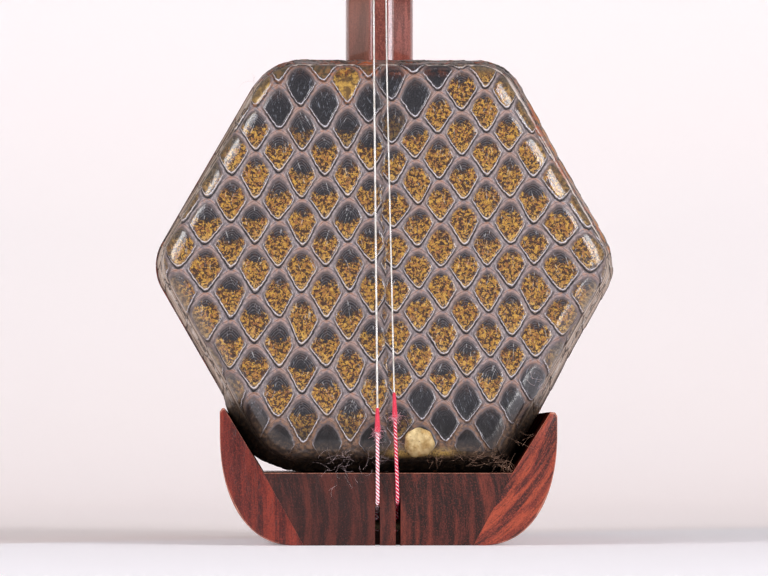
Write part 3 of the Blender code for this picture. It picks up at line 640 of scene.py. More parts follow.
    # crease between face rounding and side: painted shade in the crease, then a pale speckled line beside it
    body = m.mix((back.bell(0.1, 0.62) * 0.85).clamp(), body, srgb(38, 30, 29))
    body = m.mix((back.bell(1.5, 0.45) * n_fine.step(0.3, 0.6) * 0.6).clamp(), body, srgb(206, 196, 188))
    # painted highlight: a thin bright line along the upper rim
    body = m.mix((upper_rim * (back + (tear - 0.5) * 2.0).bell(0.9, 0.46) * n_fine.step(0.20, 0.42)).clamp(), body, srgb(226, 212, 204))

    # painted shade: a darker, browner colour in the lower rounding and along the bottom of the skin
    low_shade = m.mix(n_mid.step(0.4, 0.7), srgb(58, 50, 46), srgb(112, 90, 72))
    body = m.mix((zone[1] * (0.62 + n_fine * 0.5)).clamp(), body, low_shade)
    # rust-orange and brassy marks
    body = m.mix((stain[0] * n_mid.step(0.36, 0.60)).clamp(), body, srgb(186, 92, 40))
    body = m.mix((stain[1] * n_fine.step(0.32, 0.58)).clamp(), body, srgb(196, 160, 92))
    m.color(body)

    scuffs = m.noise(m.join(x, 40.0, z * 0.5), 1.6, 4.0, 0.65)
    m.rough(0.36 + scuffs.step(0.45, 0.75) * 0.22 + s.step(0.98, 1.08) * 0.10 - zone[1] * 0.08)
    glaze = (1.0 - s.step(0.86, 1.02)) * (1.0 - zone[0] * 0.8) * (1.0 - scuffs.step(0.50, 0.72) * 0.7)
    m.put(m.bsdf.inputs["Coat Weight"], ((0.06 + glaze * 0.85) * (1.0 - zone[0] * 0.9) * (1.0 - foot * 0.6)).clamp())
    m.put(m.bsdf.inputs["Specular IOR Level"], 0.30 - zone[0] * 0.20)
    h = (s.bell(0.965, 0.055) * lowm * 0.055 - s.bell(1.09, 0.055) * lowm * 0.085
         - s.bell(1.05, 0.06) * upm * 0.03 + ripple * 0.010 * s.step(1.04, 1.14)
         + (hair - 0.5) * 0.030 * (1.0 - s.step(0.9, 1.0)) + (n_fine - 0.5) * 0.020
         + (speck - 0.5) * 0.016)
    m.bump(h, 0.001)
    return m.mat


def metal_string_material():
    m = Mat("wound_silver", rough=0.24, metallic=1.0)
    x, y, z = m.place()
    rings = m.op('SINE', z * (2 * math.pi / 0.16))
    n = m.noise(m.join(x, y, z * 0.3), 1.4, 3.0, 0.6)
    m.color(m.mix(n.step(0.45, 0.75), srgb(226, 224, 222), srgb(190, 182, 168)))
    m.rough(0.20 + n * 0.18)
    m.bump(rings * 0.010, 0.001)
    return m.mat


def silk_material(name, a, b, fuzz=0.25):
    m = Mat(name, rough=0.78, spec=0.25)
    x, y, z = m.place()
    n = m.noise(m.join(x * 2.0, y * 2.0, z * 0.7), 2.6, 3.0, 0.6)
    f = m.noise(m.join(x * 6, y * 6, z * 2), 3.0, 2.0, 0.6)
    col = m.mix(n.step(0.35, 0.68), a, b)
    col = m.mix(f.step(0.55, 0.75) * fuzz, col, srgb(250, 236, 236))
    m.color(col)
    m.bsdf.inputs["Sheen Weight"].default_value = 0.12
    m.bsdf.inputs["Sheen Roughness"].default_value = 0.5
    m.bump((f - 0.5) * 0.02, 0.001)
    return m.mat


def brass_material(name="aged_brass"):
    m = Mat(name, rough=0.42, metallic=0.55)
    x, y, z = m.place()
    n = m.noise(m.join(x, y, z), 0.55, 3.0, 0.6)
    pit = m.noise(m.join(x, y, z), 1.7, 4.0, 0.65)
    dots = m.voronoi(m.join(x, y, z), 0.9)
    col = m.mix(n.step(0.36, 0.66), srgb(212, 190, 142), srgb(166, 136, 84))
    col = m.mix(pit.step(0.58, 0.72) * 0.45, col, srgb(128, 100, 60))
    col = m.mix((1.0 - dots.step(0.08, 0.16)) * 0.6, col, srgb(92, 70, 42))
    low = 1.0 - (z + (pit - 0.5) * 2.6).step(19.9, 22.6)
    if name == "tack_brass":
        # painted shade: the head darker at its lower edge and towards its right side
        col = m.mix(low * 0.55, col, srgb(146, 116, 70))
        col = m.mix((x - 6.2 - (z - 23.0) * 0.5 + (n - 0.5) * 3.0).step(0.5, 3.6) * 0.35, col, srgb(150, 122, 78))
    else:
        col = m.mix(0.85, col, srgb(48, 38, 24))
    m.color(col)
    m.rough(0.38 + pit * 0.22)
    m.bump((pit - 0.5) * 0.05 + (n - 0.5) * 0.10 - (1.0 - dots.step(0.05, 0.18)) * 0.03, 0.001)
    return m.mat


def bone_material():
    m = Mat("bone", rough=0.36, coat=0.15)
    x, y, z = m.place()
    n = m.noise(m.join(x, y, z), 0.4, 3.0, 0.6)
    f = m.noise(m.join(x, y * 0.25, z), 3.0, 3.0, 0.6)
    col = m.mix(n.step(0.3, 0.7), srgb(238, 226, 198), srgb(218, 200, 164))
    col = m.mix(f.step(0.60, 0.76) * 0.5, col, srgb(176, 150, 110))
    m.color(col)
    m.rough(0.30 + f * 0.16)
    m.bump((f - 0.5) * 0.02, 0.001)
    return m.mat


def thread_material():
    m = Mat("waxed_thread", rough=0.7, spec=0.3)
    x, y, z = m.place()
    n = m.noise(m.join(x, y, z * 2), 1.6, 3.0, 0.6)
    ply = m.op('SINE', (x + y) * 9.0 + z * 22.0)
    col = m.mix(n.step(0.35, 0.68), srgb(214, 200, 168), srgb(188, 168, 128))
    col = m.mix(ply.step(0.3, 1.0) * 0.25, col, srgb(150, 128, 92))
    m.color(col)
    m.rough(0.62 + n * 0.2)
    m.bump(ply * 0.02 + (n - 0.5) * 0.02, 0.001)
    return m.mat


M_SKIN = skin_material()
M_STRING = metal_string_material()
M_RED = silk_material("silk_crimson", srgb(226, 66, 92), srgb(204, 44, 68), 0.22)
M_TWIST_RED = silk_material("silk_twist_red", srgb(222, 34, 74), srgb(186, 20, 54), 0.12)
M_TWIST_WHITE = silk_material("silk_twist_white", srgb(250, 240, 243), srgb(244, 206, 216), 0.2)
M_FUZZ = silk_material("silk_fuzz", srgb(236, 190, 200), srgb(206, 120, 138), 0.4)
M_LINT = silk_material("pale_lint", srgb(226, 204, 206), srgb(186, 160, 160), 0.3)
M_LINT_BROWN = silk_material("brown_lint", srgb(188, 150, 126), srgb(120, 84, 66), 0.2)
M_BRASS = brass_material("dark_brass")
M_TACK = brass_material("tack_brass")
M_BONE = bone_material()
M_THREAD = thread_material()
M_NECK = wood("neck_rosewood", srgb(106, 53, 45), srgb(145, 77, 65), srgb(172, 98, 84), grain='z',
              rough=0.50, coat=0.95, coat_rough=0.06, relief=0.10, seed=3.0, contrast=0.40, figure=0.28, spec=0.2,
              tone=(-3.2, -2.0, 0.55, srgb(108, 82, 69)))
M_BASE_L = wood("base_left_rosewood", srgb(66, 26, 25), srgb(97, 36, 32), srgb(138, 52, 38), grain='z',
                rough=0.44, seed=11.0, contrast=0.55, figure=0.26, red_at=(-25.0, 5.0), slope=True)
M_BASE_C = wood("base_centre_rosewood", srgb(34, 20, 18), srgb(72, 34, 29), srgb(118, 52, 39), grain='z',
                rough=0.50, seed=5.0, contrast=0.50, figure=0.42, tone=(-3.0, 4.0, 0.42, srgb(46, 25, 24)), bow=0.012, pivot=6.0, slope=True, spec=0.25, lit_x=-20.0)
M_BASE_R = wood("base_right_rosewood", srgb(54, 26, 26), srgb(116, 47, 38), srgb(168, 74, 50), grain='z',
                rough=0.42, seed=33.0, diagonal=-0.80, bow=0.010, pivot=26.0, contrast=0.72, figure=0.44, slope=True)
M_BOARD = wood("board_rosewood", srgb(66, 32, 28), srgb(110, 50, 40), srgb(148, 72, 52), grain='y',
               rough=0.34, seed=8.0, contrast=0.55, coat=0.3, figure=0.22)
M_PEG = wood("peg_blackwood", srgb(30, 20, 18), srgb(56, 32, 26), srgb(88, 48, 36), grain='y',
             rough=0.26, seed=14.0, contrast=0.45, coat=0.45, figure=0.4)
M_WINDOW = wood("window_rosewood", srgb(78, 40, 32), srgb(116, 60, 46), srgb(150, 86, 60), grain='x',
                rough=0.42, seed=17.0, contrast=0.5, figure=0.2)


# ------------------------------------------------------------- hexagon rings
N_ARC, N_FLAT = 28, 92
N_RING = 6 * (N_ARC + N_FLAT)


def ring2d(ap, cz, n_arc=N_ARC, n_flat=N_FLAT):
    """Rounded hexagon: points (x, z), outward normals, both (N, 2)."""
    pts, nrm = [], []
    geo = []
    for k in range(6):
        r = max(CORNER_R[k] - (SKIN_AP - ap), 2.5)
        d = (ap - r) / math.cos(math.radians(30))
        a = math.radians(60 * k)
        geo.append((d * math.cos(a), d * math.sin(a), r, a))
    for k in range(6):
        cx, cy, r, a = geo[k]
        for i in range(n_arc):
            t = a + math.radians(-30 + 60 * i / n_arc)
            pts.append((cx + r * math.cos(t), cz + cy + r * math.sin(t)))
            nrm.append((math.cos(t), math.sin(t)))
        t = a + math.radians(30)
        cx2, cy2, r2, a2 = geo[(k + 1) % 6]
        p = np.array((cx + r * math.cos(t), cz + cy + r * math.sin(t)))
        q = np.array((cx2 + r2 * math.cos(t), cz + cy2 + r2 * math.sin(t)))
        for i in range(n_flat):
            w = i / n_flat
            pts.append(tuple(p * (1 - w) + q * w))
            nrm.append((math.cos(t), math.sin(t)))
    return np.array(pts), np.array(nrm)


# ------------------------------------------------------ the scales' lattice
PU = 0.2256          # one pattern unit in millimetres
rng = np.random.default_rng(7)
_waves = [(rng.uniform(0.05, 0.16), rng.uniform(0, 2 * math.pi), rng.uniform(0, 2 * math.pi),
           rng.uniform(0, 2 * math.pi)) for _ in range(10)]


def pattern_xy(x, z):
    """Skin coordinates in pattern units: x to the right, y downwards."""
    return 385.75 + x / PU, 263.0 + (HEX_Z - z) / PU


def warp(px, py):
    wu = np.zeros_like(px)
    wv = np.zeros_like(px)
    for f, a, b, c in _waves:
        wu += np.sin(px * f * math.cos(a) + py * f * math.sin(a) + b)
        wv += np.sin(px * f * math.cos(a + 1.3) + py * f * math.sin(a + 1.3) + c)
    return wu * 0.012, wv * 0.010


def lattice_left(px, py):
    py = py - 4.0 * np.clip((370.0 - px) / 45.0, 0, 1)
    t = py - 122.0
    k = (px - 370.0) / 22.9
    u = (px - 370.0 - 0.018 * np.clip(1 + k / 4.0, -0.3, 1.0) * t) / 22.9
    u = u + 0.03 * np.maximum(0, -u - 5) ** 2
    v = np.where(py > 262.0, 3.0 + (py - 262.0) / 50.2, t / 46.6)
    wu, wv = warp(px, py)
    return u + wu, v + wv


def lattice_right(px, py):
    d = px - 394.0
    y0 = 97.0 - 0.24 * d + 0.0010 * d * d
    pitch = 42.9 + 0.028 * np.clip(d, -20, 90)
    u = (px - 392.0 - 0.022 * (py - 97.0) * (1 - d / 400)) / 23.4
    u = u - 0.035 * np.maximum(0, u - 5) ** 2
    wu, wv = warp(px + 400, py)
    return u + wu, (py - y0) / pitch + wv


def seam_at(px, py):
    return px - (381.5 + 0.020 * (py - 100.0) + 1.6 * np.sin(py / 19.0))


def cells(u, v):
    """Shape value, sideways and downwards offsets, and the cell's indices."""
    best = None
    for parity in (0, 1):
        k = np.floor((u - parity) * 0.5 + 0.5) * 2 + parity
        n = np.floor(v + (SCALE_MID - 0.5 * parity) + 0.5) + 0.5 * parity
        sx = (u - k) / SCALE_HALF
        dy = v - n + SCALE_MID
        dx = np.abs(sx)
        lower = (np.sqrt(dx ** 2 + TIP_EPS ** 2) - TIP_EPS) / TIP_NORM + dy / SCALE_LOW
        upper = (np.maximum(dx, 1e-4) ** ARCH_POW + np.maximum(np.abs(dy) / SCALE_UP, 1e-4) ** ARCH_POW) ** (1 / ARCH_POW)
        s = np.where(dy > 0, lower, upper)
        cur = [s, sx, dy, k, n]
        if best is None:
            best = cur
        else:
            take = cur[0] < best[0]
            best = [np.where(take, c, b) for c, b in zip(cur, best)]
    return best


def smooth(x, a, b):
    t = np.clip((x - a) / (b - a), 0, 1)
    return t * t * (3 - 2 * t)


def bell(x, c, w):
    return np.exp(-((x - c) / w) ** 2)


def spot(px, py, cx, cy, rx, ry):
    return np.exp(-((px - cx) / rx) ** 2 - ((py - cy) / ry) ** 2)


def build_skin():
    """The stretched skin: face, rounding and side band, with every scale raised."""
    rings = []        # (pos (N,3), normal (N,3), skin plane coords (N,2), band)
    face, fn = ring2d(FACE_AP, HEX_Z + CREASE_DZ)
    width = CREASE_AP - FACE_AP
    depth = CREASE_Y - SKIN_FRONT
    # side band, rear edge first
    side_len = math.hypot(SKIN_REAR - CREASE_Y, SKIN_AP - CREASE_AP)
    round_len = 0.5 * math.pi * math.sqrt((width ** 2 + depth ** 2) / 2)
    tilt = math.atan2(SKIN_AP - CREASE_AP, SKIN_REAR - CREASE_Y)
    n_side, n_round = 20, 17
    ang = np.arange(N_RING)
    fray = (0.28 * np.sin(ang * 0.17) + 0.22 * np.sin(ang * 0.41 + 1) + 0.16 * np.sin(ang * 0.93 + 2)
            + 0.20 * rng.uniform(-1, 1, N_RING))
    for i in range(n_side):
        t = i / n_side
        y = SKIN_REAR + (CREASE_Y - SKIN_REAR) * t
        ap = SKIN_AP + (CREASE_AP - SKIN_AP) * t
        p, n = ring2d(ap, HEX_Z + CREASE_DZ * t)
        yy = y + (np.minimum(fray, 0.0) * 0.9 if i == 0 else 0.0)
        pos = np.column_stack([p[:, 0], np.full(N_RING, y) + (yy - y), p[:, 1]])
        nor = np.column_stack([n[:, 0] * math.cos(tilt), np.full(N_RING, -math.sin(tilt)), n[:, 1] * math.cos(tilt)])
        arc = round_len + side_len * (1 - t)
        flat = face + fn * arc
        rings.append((pos, nor, flat, np.full(N_RING, side_len * (1 - t))))
    for i in range(n_round + 1):
        a = math.radians(90 * i / n_round)
        y = CREASE_Y - depth * math.sin(a)
        ap = CREASE_AP - width * (1 - math.cos(a))
        p, n = ring2d(ap, HEX_Z + CREASE_DZ)
        nx, ny = math.cos(a) * depth, math.sin(a) * width
        ln = math.hypot(nx, ny)
        pos = np.column_stack([p[:, 0], np.full(N_RING, y), p[:, 1]])
        nor = np.column_stack([n[:, 0] * nx / ln, np.full(N_RING, -ny / ln), n[:, 1] * nx / ln])
        arc = round_len * (1 - i / n_round)
        rings.append((pos, nor, face + fn * arc, np.full(N_RING, -round_len * i / n_round)))
    centre = np.array((0.0, HEX_Z + CREASE_DZ))
    rho, count = 1.0, N_RING
    stepmm = 0.43
    while True:
        rho -= stepmm / FACE_AP
        if rho < 0.012:
            break
        want = N_RING if rho > 0.5 else N_RING // 2 if rho > 0.25 else N_RING // 4 if rho > 0.12 else N_RING // 8
        stride = N_RING // want
        p = centre + (face[::stride] - centre) * rho
        pos = np.column_stack([p[:, 0], np.full(len(p), SKIN_FRONT), p[:, 1]])
        nor = np.tile(np.array((0.0, -1.0, 0.0)), (len(p), 1))
        rings.append((pos, nor, p, np.full(len(p), -round_len - (1 - rho) * FACE_AP)))
    P = np.concatenate([r[0] for r in rings])
    Nn = np.concatenate([r[1] for r in rings])
    F = np.concatenate([r[2] for r in rings])
    B = np.concatenate([r[3] for r in rings])
    counts = [len(r[0]) for r in rings]
    # centre point
    P = np.vstack([P, [[centre[0], SKIN_FRONT, centre[1]]]])
    Nn = np.vstack([Nn, [[0, -1, 0]]])
    F = np.vstack([F, [centre]])
    B = np.append(B, -100.0)

    px, py = pattern_xy(F[:, 0], F[:, 1])
    ul, vl = lattice_left(px, py)
    ur, vr = lattice_right(px, py)
    seam = seam_at(px, py)
    isr = seam > 0
    u, v = np.where(isr, ur, ul), np.where(isr, vr, vl)
    s, sx, dy, k, n = cells(u, v)
    low = smooth(dy, -0.10, 0.04)
    up = 1 - smooth(dy, -0.06, 0.12)
    # height of the surface over the stretched skin, in millimetres
    plate = 0.10 + 0.20 * smooth(dy, -0.45, 0.34) - 0.05 * np.exp(-(sx / 0.35) ** 2) * smooth(dy, -0.3, 0.2)
    inside = np.where(dy > 0, 1 - smooth(s, 0.94, 1.08), 1 - smooth(s, 0.78, 1.10))
    h = plate * inside
    h += 0.05 * bell(s, 0.93, 0.09) * low
    h -= 0.15 * bell(s, 1.10, 0.09) * low
    h -= 0.06 * bell(s, 1.06, 0.09) * up
    h += 0.07 * bell(s, 1.24, 0.11) * up
    ripple = np.sin(px * 0.55 + 2.2 * np.sin(py * 0.11)) * np.sin(py * 0.43)
    h += 0.010 * ripple
    h += 0.05 * np.sin(px * 0.031 + 1.0) * np.sin(py * 0.027)
    h -= 0.10 * bell(seam, 0.0, 2.2)
    side_t = np.clip(B / side_len, 0, 1)
    fade = 1 - 0.65 * smooth(B, -0.6, 1.2)
    h *= fade
    # rolled crease where the rounding turns into the side
    h -= 0.16 * bell(B, 0.0, 0.40)
    h += 0.10 * bell(B, 1.15, 0.45)
    h += 0.05 * np.sin(px * 0.35 + py * 0.22) * side_t
    P = P + Nn * h[:, None]
    lift = smooth(B, 1.5, 8.5)
    outward = np.column_stack([P[:, 0], np.zeros(len(P)), P[:, 2] - HEX_Z])
    outward /= np.maximum(np.linalg.norm(outward, axis=1), 1e-6)[:, None]
    rough_edge = 0.5 + 0.5 * np.sin(px * 0.19 + 1.7 * np.sin(px * 0.053) + py * 0.11)
    topside = smooth(outward[:, 2], 0.50, 0.90)
    torn = smooth(px, 262, 280) * (1 - smooth(px, 310, 330))
    turn = np.degrees(np.arctan2(outward[:, 2], outward[:, 0])) % 360
    low_left = smooth(turn, 215, 227) * (1 - smooth(turn, 233, 243))
    low_right = (1 - smooth(turn, 318, 338)) * smooth(turn, 290, 300)
    P += outward * (lift * topside * (0.40 + 0.34 * (rough_edge - 0.4) * torn))[:, None]
    P += outward * (lift * (low_left * 1.02 + low_right * 0.45) * (0.92 + 0.12 * rough_edge))[:, None]
    # the wrapped band sits a little to one side of the face
    wrap = smooth(B, -2.0, 3.5)
    left_w = smooth(turn, 92, 112) * (1 - smooth(turn, 214, 229))
    right_w = smooth(turn, 2, 10) * (1 - smooth(turn, 62, 84))
    P[:, 0] += wrap * (left_w * (0.60 + 0.30 * np.exp(-((turn - 126) / 13) ** 2))
                       + right_w * (0.52 + 0.30 * np.exp(-((turn - 50) / 10) ** 2))
                       + 0.15 * smooth(turn, 296, 310))

    verts = [tuple(p) for p in P]
    faces = []
    start = np.concatenate([[0], np.cumsum(counts)])
    for r in range(len(counts) - 1):
        a0, b0, ca, cb = start[r], start[r + 1], counts[r], counts[r + 1]
        if ca == cb:
            i = np.arange(ca)
            j = (i + 1) % ca
            faces.extend(np.column_stack([a0 + i, a0 + j, b0 + j, b0 + i]).tolist())
        else:
            for i in range(cb):
                j = (i + 1) % cb
                a, m, b = 2 * i, 2 * i + 1, (2 * i + 2) % ca
                faces.append([a0 + a, a0 + m, b0 + i])
                faces.append([a0 + m, b0 + j, b0 + i])
                faces.append([a0 + m, a0 + b, b0 + j])
    last = start[-2]
    for i in range(counts[-1]):
        faces.append([last + i, last + (i + 1) % counts[-1], len(verts) - 1])
    outer_n = len(verts)

    # the inner face, plain
    inner = []
    for t in (0.0, 0.5, 1.0):
        y = SKIN_REAR + (CREASE_Y - SKIN_REAR) * t
        p, nn = ring2d(SKIN_AP + (CREASE_AP - SKIN_AP) * t - SKIN_T * 0.85, HEX_Z + CREASE_DZ * t)
        yy = y + (np.minimum(fray, 0.0) * 0.9 if t == 0 else 0.0)
        inner.append(np.column_stack([p[:, 0], np.full(N_RING, y) + (yy - y), p[:, 1]]))
    for i in (1, 2, 3, 4):
        a = math.radians(22.5 * i)
        p, nn = ring2d(CREASE_AP - SKIN_T - width * (1 - math.cos(a)), HEX_Z + CREASE_DZ)
        inner.append(np.column_stack([p[:, 0], np.full(N_RING, CREASE_Y - (depth - SKIN_T) * math.sin(a)), p[:, 1]]))
    base = len(verts)
    for ring in inner:
        verts.extend([tuple(p) for p in ring])
    for r in range(len(inner) - 1):
        a0, b0 = base + r * N_RING, base + (r + 1) * N_RING
        i = np.arange(N_RING)
        j = (i + 1) % N_RING
        faces.extend(np.column_stack([a0 + j, a0 + i, b0 + i, b0 + j]).tolist())
    end = base + (len(inner) - 1) * N_RING
    verts.append((centre[0], SKIN_FRONT + SKIN_T, centre[1]))
    for i in range(N_RING):
        faces.append([end + (i + 1) % N_RING, end + i, len(verts) - 1])
    i = np.arange(N_RING)
    j = (i + 1) % N_RING
    faces.extend(np.column_stack([j, i, base + i, base + j]).tolist())

    mesh = bpy.data.meshes.new("snakeskin")
    mesh.from_pydata([tuple(c * MM for c in p) for p in verts], [], faces)
    bm = bmesh.new()
    bm.from_mesh(mesh)
    bmesh.ops.recalc_face_normals(bm, faces=bm.faces)
    bm.to_mesh(mesh)
    bm.free()
    mesh.shade_smooth()

    total = len(verts)

    def vec(name, a, b, c):
        at = mesh.attributes.new(name, 'FLOAT_VECTOR', 'POINT')
        data = np.zeros((total, 3), np.float32)
        data[:outer_n, 0], data[:outer_n, 1], data[:outer_n, 2] = a, b, c
        # the hidden inner face keeps a plain value
        data[outer_n:, 0] = 3.0
        at.data.foreach_set("vector", data.ravel())

    # per-scale values: how black it is, a random number, where gold begins
    ids = {}
    cell_rng = np.random.default_rng(19)
    table = cell_rng.uniform(0, 1, (4096, 3))
    key = ((k + 40).astype(int) * 61 + (n * 2 + 40).astype(int) * 7 + isr.astype(int) * 1777) % 4096
    ra, rb, rc = table[key, 0], table[key, 1], table[key, 2]
    # the centre of each vertex's own scale, in pattern units
    cpx = px - sx * 15.0
    cpy = py - dy * 45.5 - 2.0
    dark = np.maximum.reduce([
        smooth(cpy, 132, 104) if False else 1 - smooth(cpy, 112, 136),
        np.zeros_like(cpy)]) * (1 - smooth(cpx, 418, 440)) * smooth(cpx, 262, 276)
    dark = np.maximum(dark, (1 - smooth(cpy, 74, 88)) * smooth(cpx, 384, 392) * (1 - smooth(cpx, 448, 456)))
    dark = np.maximum(dark, smooth(cpy, 378, 392) * smooth(cpx, 404, 416))
    dark = np.maximum(dark, smooth(cpy, 412, 424))
    dark = np.maximum(dark, smooth(cpx, 512, 528) * smooth(cpy, 352, 366))
    dark = np.maximum(dark, smooth(cpy, 384, 400) * (1 - smooth(cpx, 262, 270)))
    dark = np.clip(dark, 0, 1)
    gold = 0.02 + 0.10 * (ra - 0.5) * 2
    gold = gold + 0.16 * (1 - smooth(cpy, 128, 190)) * (1 - smooth(cpx, 400, 440))
    gold = gold + 0.12 * smooth(cpy, 366, 392) * smooth(cpx, 420, 440)
    gold = gold + np.where(rb > 0.88, 0.12, 0.0) - 0.075 * isr * (1 - smooth(cpy, 330, 370))
    vec("cell", dark, rc, gold)
    band = smooth(B, -0.5, 0.5)
    on_round = smooth(B, -round_len - 0.2, -round_len * 0.45)
    # painted shade: strongest in the lower rounding and along the bottom
    low_shade = np.clip(smooth(py, 396, 430) * on_round * 0.95 + smooth(py, 446, 460), 0, 1)
    blotch = np.maximum.reduce([
        smooth(spot(cpx, cpy, 349, 70, 14, 20), 0.45, 0.6), 0.8 * smooth(spot(cpx, cpy, 382, 62, 13, 18), 0.4, 0.6),
        smooth(spot(cpx, cpy, 258, 84, 12, 24), 0.4, 0.6), 0.6 * (1 - smooth(cpy, 58, 66)) * (1 - smooth(cpx, 372, 380)),
        0.7 * smooth(spot(cpx, cpy, 490, 50, 14, 14), 0.4, 0.6)])
    vec("zone", band, low_shade, blotch)
    wav = 0.5 + 0.5 * np.sin(px * 0.21 + 2 * np.sin(px * 0.07)) * np.sin(px * 0.093 + 1)
    orange = np.clip(1.2 * spot(px, py, 366, 44, 10, 22) + 0.8 * spot(px, py, 324, 48, 13, 20) * wav
                     + spot(px, py, 552, 122, 10, 16) + 0.8 * spot(px, py, 575, 160, 10, 14), 0, 1) * smooth(B, -3.0, 0.5)
    orange = np.clip(orange + 0.55 * spot(px, py, 385, 70, 60, 5) * wav, 0, 1)
    brassy = np.clip(spot(px, py, 400, 455, 13, 6) + spot(px, py, 440, 454, 14, 5), 0, 1)
    top = smooth(py, 68, 56) if False else 1 - smooth(py, 56, 66)
    top = np.maximum(top, smooth(px, 500, 530) * (1 - smooth(py, 228, 252)) * smooth(B, -1.0, 0.2))
    vec("stain", orange, brassy, bell(seam, 0, 3.0) * (1 - top) + 2.0 * top)
    vec("lat_left", ul, vl, seam)
    vec("lat_right", ur, vr, B)

    mesh.materials.append(M_SKIN)
    ob = bpy.data.objects.new("snakeskin", mesh)
    bpy.context.scene.collection.objects.link(ob)
    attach(ob, "frame")
    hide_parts("snakeskin_head")
    return ob


# -------------------------------------------------------------------- boards
BOARD_AP, BOARD_IN = 46.7, 37.4
BOARD_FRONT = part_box("resonator_board_top")[0].y / MM
BOARD_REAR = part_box("resonator_board_top")[1].y / MM
WAIST_AP = 45.9


def build_boards():
    names = ("upper_right", "top", "upper_left", "lower_left", "bottom", "lower_right")
    arc, half = 20, 10
    stations = [
        (BOARD_FRONT, FACE_AP - SKIN_T - 0.6, CREASE_DZ),
        (BOARD_FRONT + 1.3, FACE_AP - SKIN_T + 1.3, CREASE_DZ),
        (CREASE_Y + 0.2, CREASE_AP - SKIN_T - GAP - 0.15, CREASE_DZ),
        (SKIN_REAR + GAP, SKIN_AP - SKIN_T - GAP, 0.0),
        (SKIN_REAR + GAP, BOARD_AP, 0.0)]
    for i in range(13):
        t = i / 12
        y = 10.0 + (BOARD_REAR - 10.0) * t
        # a gentle waist towards the rear opening
        stations.append((y, BOARD_AP - 0.8 * math.sin(math.pi * min(1.0, t * 1.25) * 0.8) ** 2 - 0.3 * t, 0.0))
    for k, name in enumerate(names):
        k2 = (k + 1) % 6
        secs = []
        for y, ap, dz in stations:
            pts, _ = ring2d(ap, HEX_Z + dz, arc, 1)
            per = arc + 1
            first = [tuple(pts[k * per + i]) for i in range(half, arc)]
            first.append(tuple(pts[k * per + arc]))
            last = [tuple(pts[k2 * per + i]) for i in range(0, half + 1)]
            outer = first + last
            mit = []
            for kk, sgn in ((k, 1), (k2, -1)):
                a = math.radians(60 * kk) + sgn * math.pi / 2
                mit.append((math.cos(a) * 0.04, math.sin(a) * 0.04))
            outer[0] = (outer[0][0] + mit[0][0], outer[0][1] + mit[0][1])
            outer[-1] = (outer[-1][0] + mit[1][0], outer[-1][1] + mit[1][1])
            inner = []
            d = BOARD_IN / math.cos(math.radians(30))
            for kk, mm in ((k2, mit[1]), (k, mit[0])):
                a = math.radians(60 * kk)
                inner.append((d * math.cos(a) + mm[0], HEX_Z + d * math.sin(a) + mm[1]))
            secs.append([(px_, y, pz_) for px_, pz_ in outer + inner])
        v, f = loft_data(secs)
        node = "resonator_board_" + name
        ob = new_mesh("board_" + name, v, f, M_BOARD, "frame", (node,), smooth=30)
        if name in ("top", "bottom"):
            cut_with(ob, *cylinder_data((0, 0, 2), (0, 0, 130), 7.15))
            ob.data.shade_smooth()
            ob.data.set_sharp_from_angle(angle=math.radians(30))
        add_bevel(ob, 0.25, 2, 40)


def build_window():
    """Pierced panel: rings of hexagonal openings with chamfered edges."""
    ap = BOARD_IN - 0.1
    d = ap / math.cos(math.radians(30))
    lo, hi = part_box("sound_window")
    y0, y1 = lo.y / MM, hi.y / MM
    hexa = [(d * math.cos(math.radians(60 * k)), HEX_Z + d * math.sin(math.radians(60 * k))) for k in range(6)]
    v, f = loft_data([[(x, y, z) for x, z in hexa] for y in (y0, y1)])
    ob = new_mesh("rear_lattice", v, f, M_WINDOW, "frame", ("sound_window",), smooth=30)
    verts, faces = [], []
    hr = 5.3 / math.cos(math.radians(30))
    pitch = 14.2
    for q in range(-2, 3):
        for r in range(-2, 3):
            if abs(q + r) > 2:
                continue
            cx = pitch * (q + r / 2)
            cz = HEX_Z + pitch * r * math.sqrt(3) / 2
            b = len(verts)
            # six-lobed opening: a hexagon with hollowed sides
            n = 48
            for y in (y0 - 2, y1 + 2):
                for i in range(n):
                    a = 2 * math.pi * i / n
                    rr = hr * (0.90 + 0.075 * math.cos(6 * (a - math.pi / 6)))
                    verts.append((cx + rr * math.cos(a), y, cz + rr * math.sin(a)))
            for i in range(n):
                j = (i + 1) % n
                faces.append((b + i, b + j, b + n + j, b + n + i))
            faces.append(tuple(b + i for i in reversed(range(n))))
            faces.append(tuple(b + n + i for i in range(n)))
    cut_with(ob, verts, faces)
    ob.data.shade_smooth()
    ob.data.set_sharp_from_angle(angle=math.radians(30))
    add_bevel(ob, 0.45, 3, 50)


# ---------------------------------------------------------------- neck, head
def superellipse(hx, hy, n=2.5, count=72):
    pts = []
    for i in range(count):
        a = 2 * math.pi * (i + 0.5) / count
        c, s = math.cos(a), math.sin(a)
        pts.append((hx * math.copysign(abs(c) ** (2 / n), c),
                    hy * math.copysign(abs(s) ** (2 / n), s)))
    return pts


def neck_outline(hx, hy, blend=0.0, count=200):
    """Cross section of the stick: flat front strip, two narrow bevels, broad side faces, round back."""
    planes = ((0.0, 8.98), (15.5, 8.98 * math.cos(math.radians(15.5)) + 1.50 * math.sin(math.radians(15.5))),
              (39.0, 8.56), (-16.5, 8.98 * math.cos(math.radians(16.5)) + 1.55 * math.sin(math.radians(16.5))),
              (-39.0, 8.40))
    out = []
    for x, y in superellipse(NECK_HX, NECK_HY, count=count):
        k = 1.0
        for deg, d in planes:
            a = math.radians(deg)
            reach = x * math.sin(a) - y * math.cos(a)
            if reach > d:
                k = min(k, d / reach)
        k += (1.0 - k) * blend
        out.append((x * k * hx / NECK_HX, y * k * hy / NECK_HY))
    return out


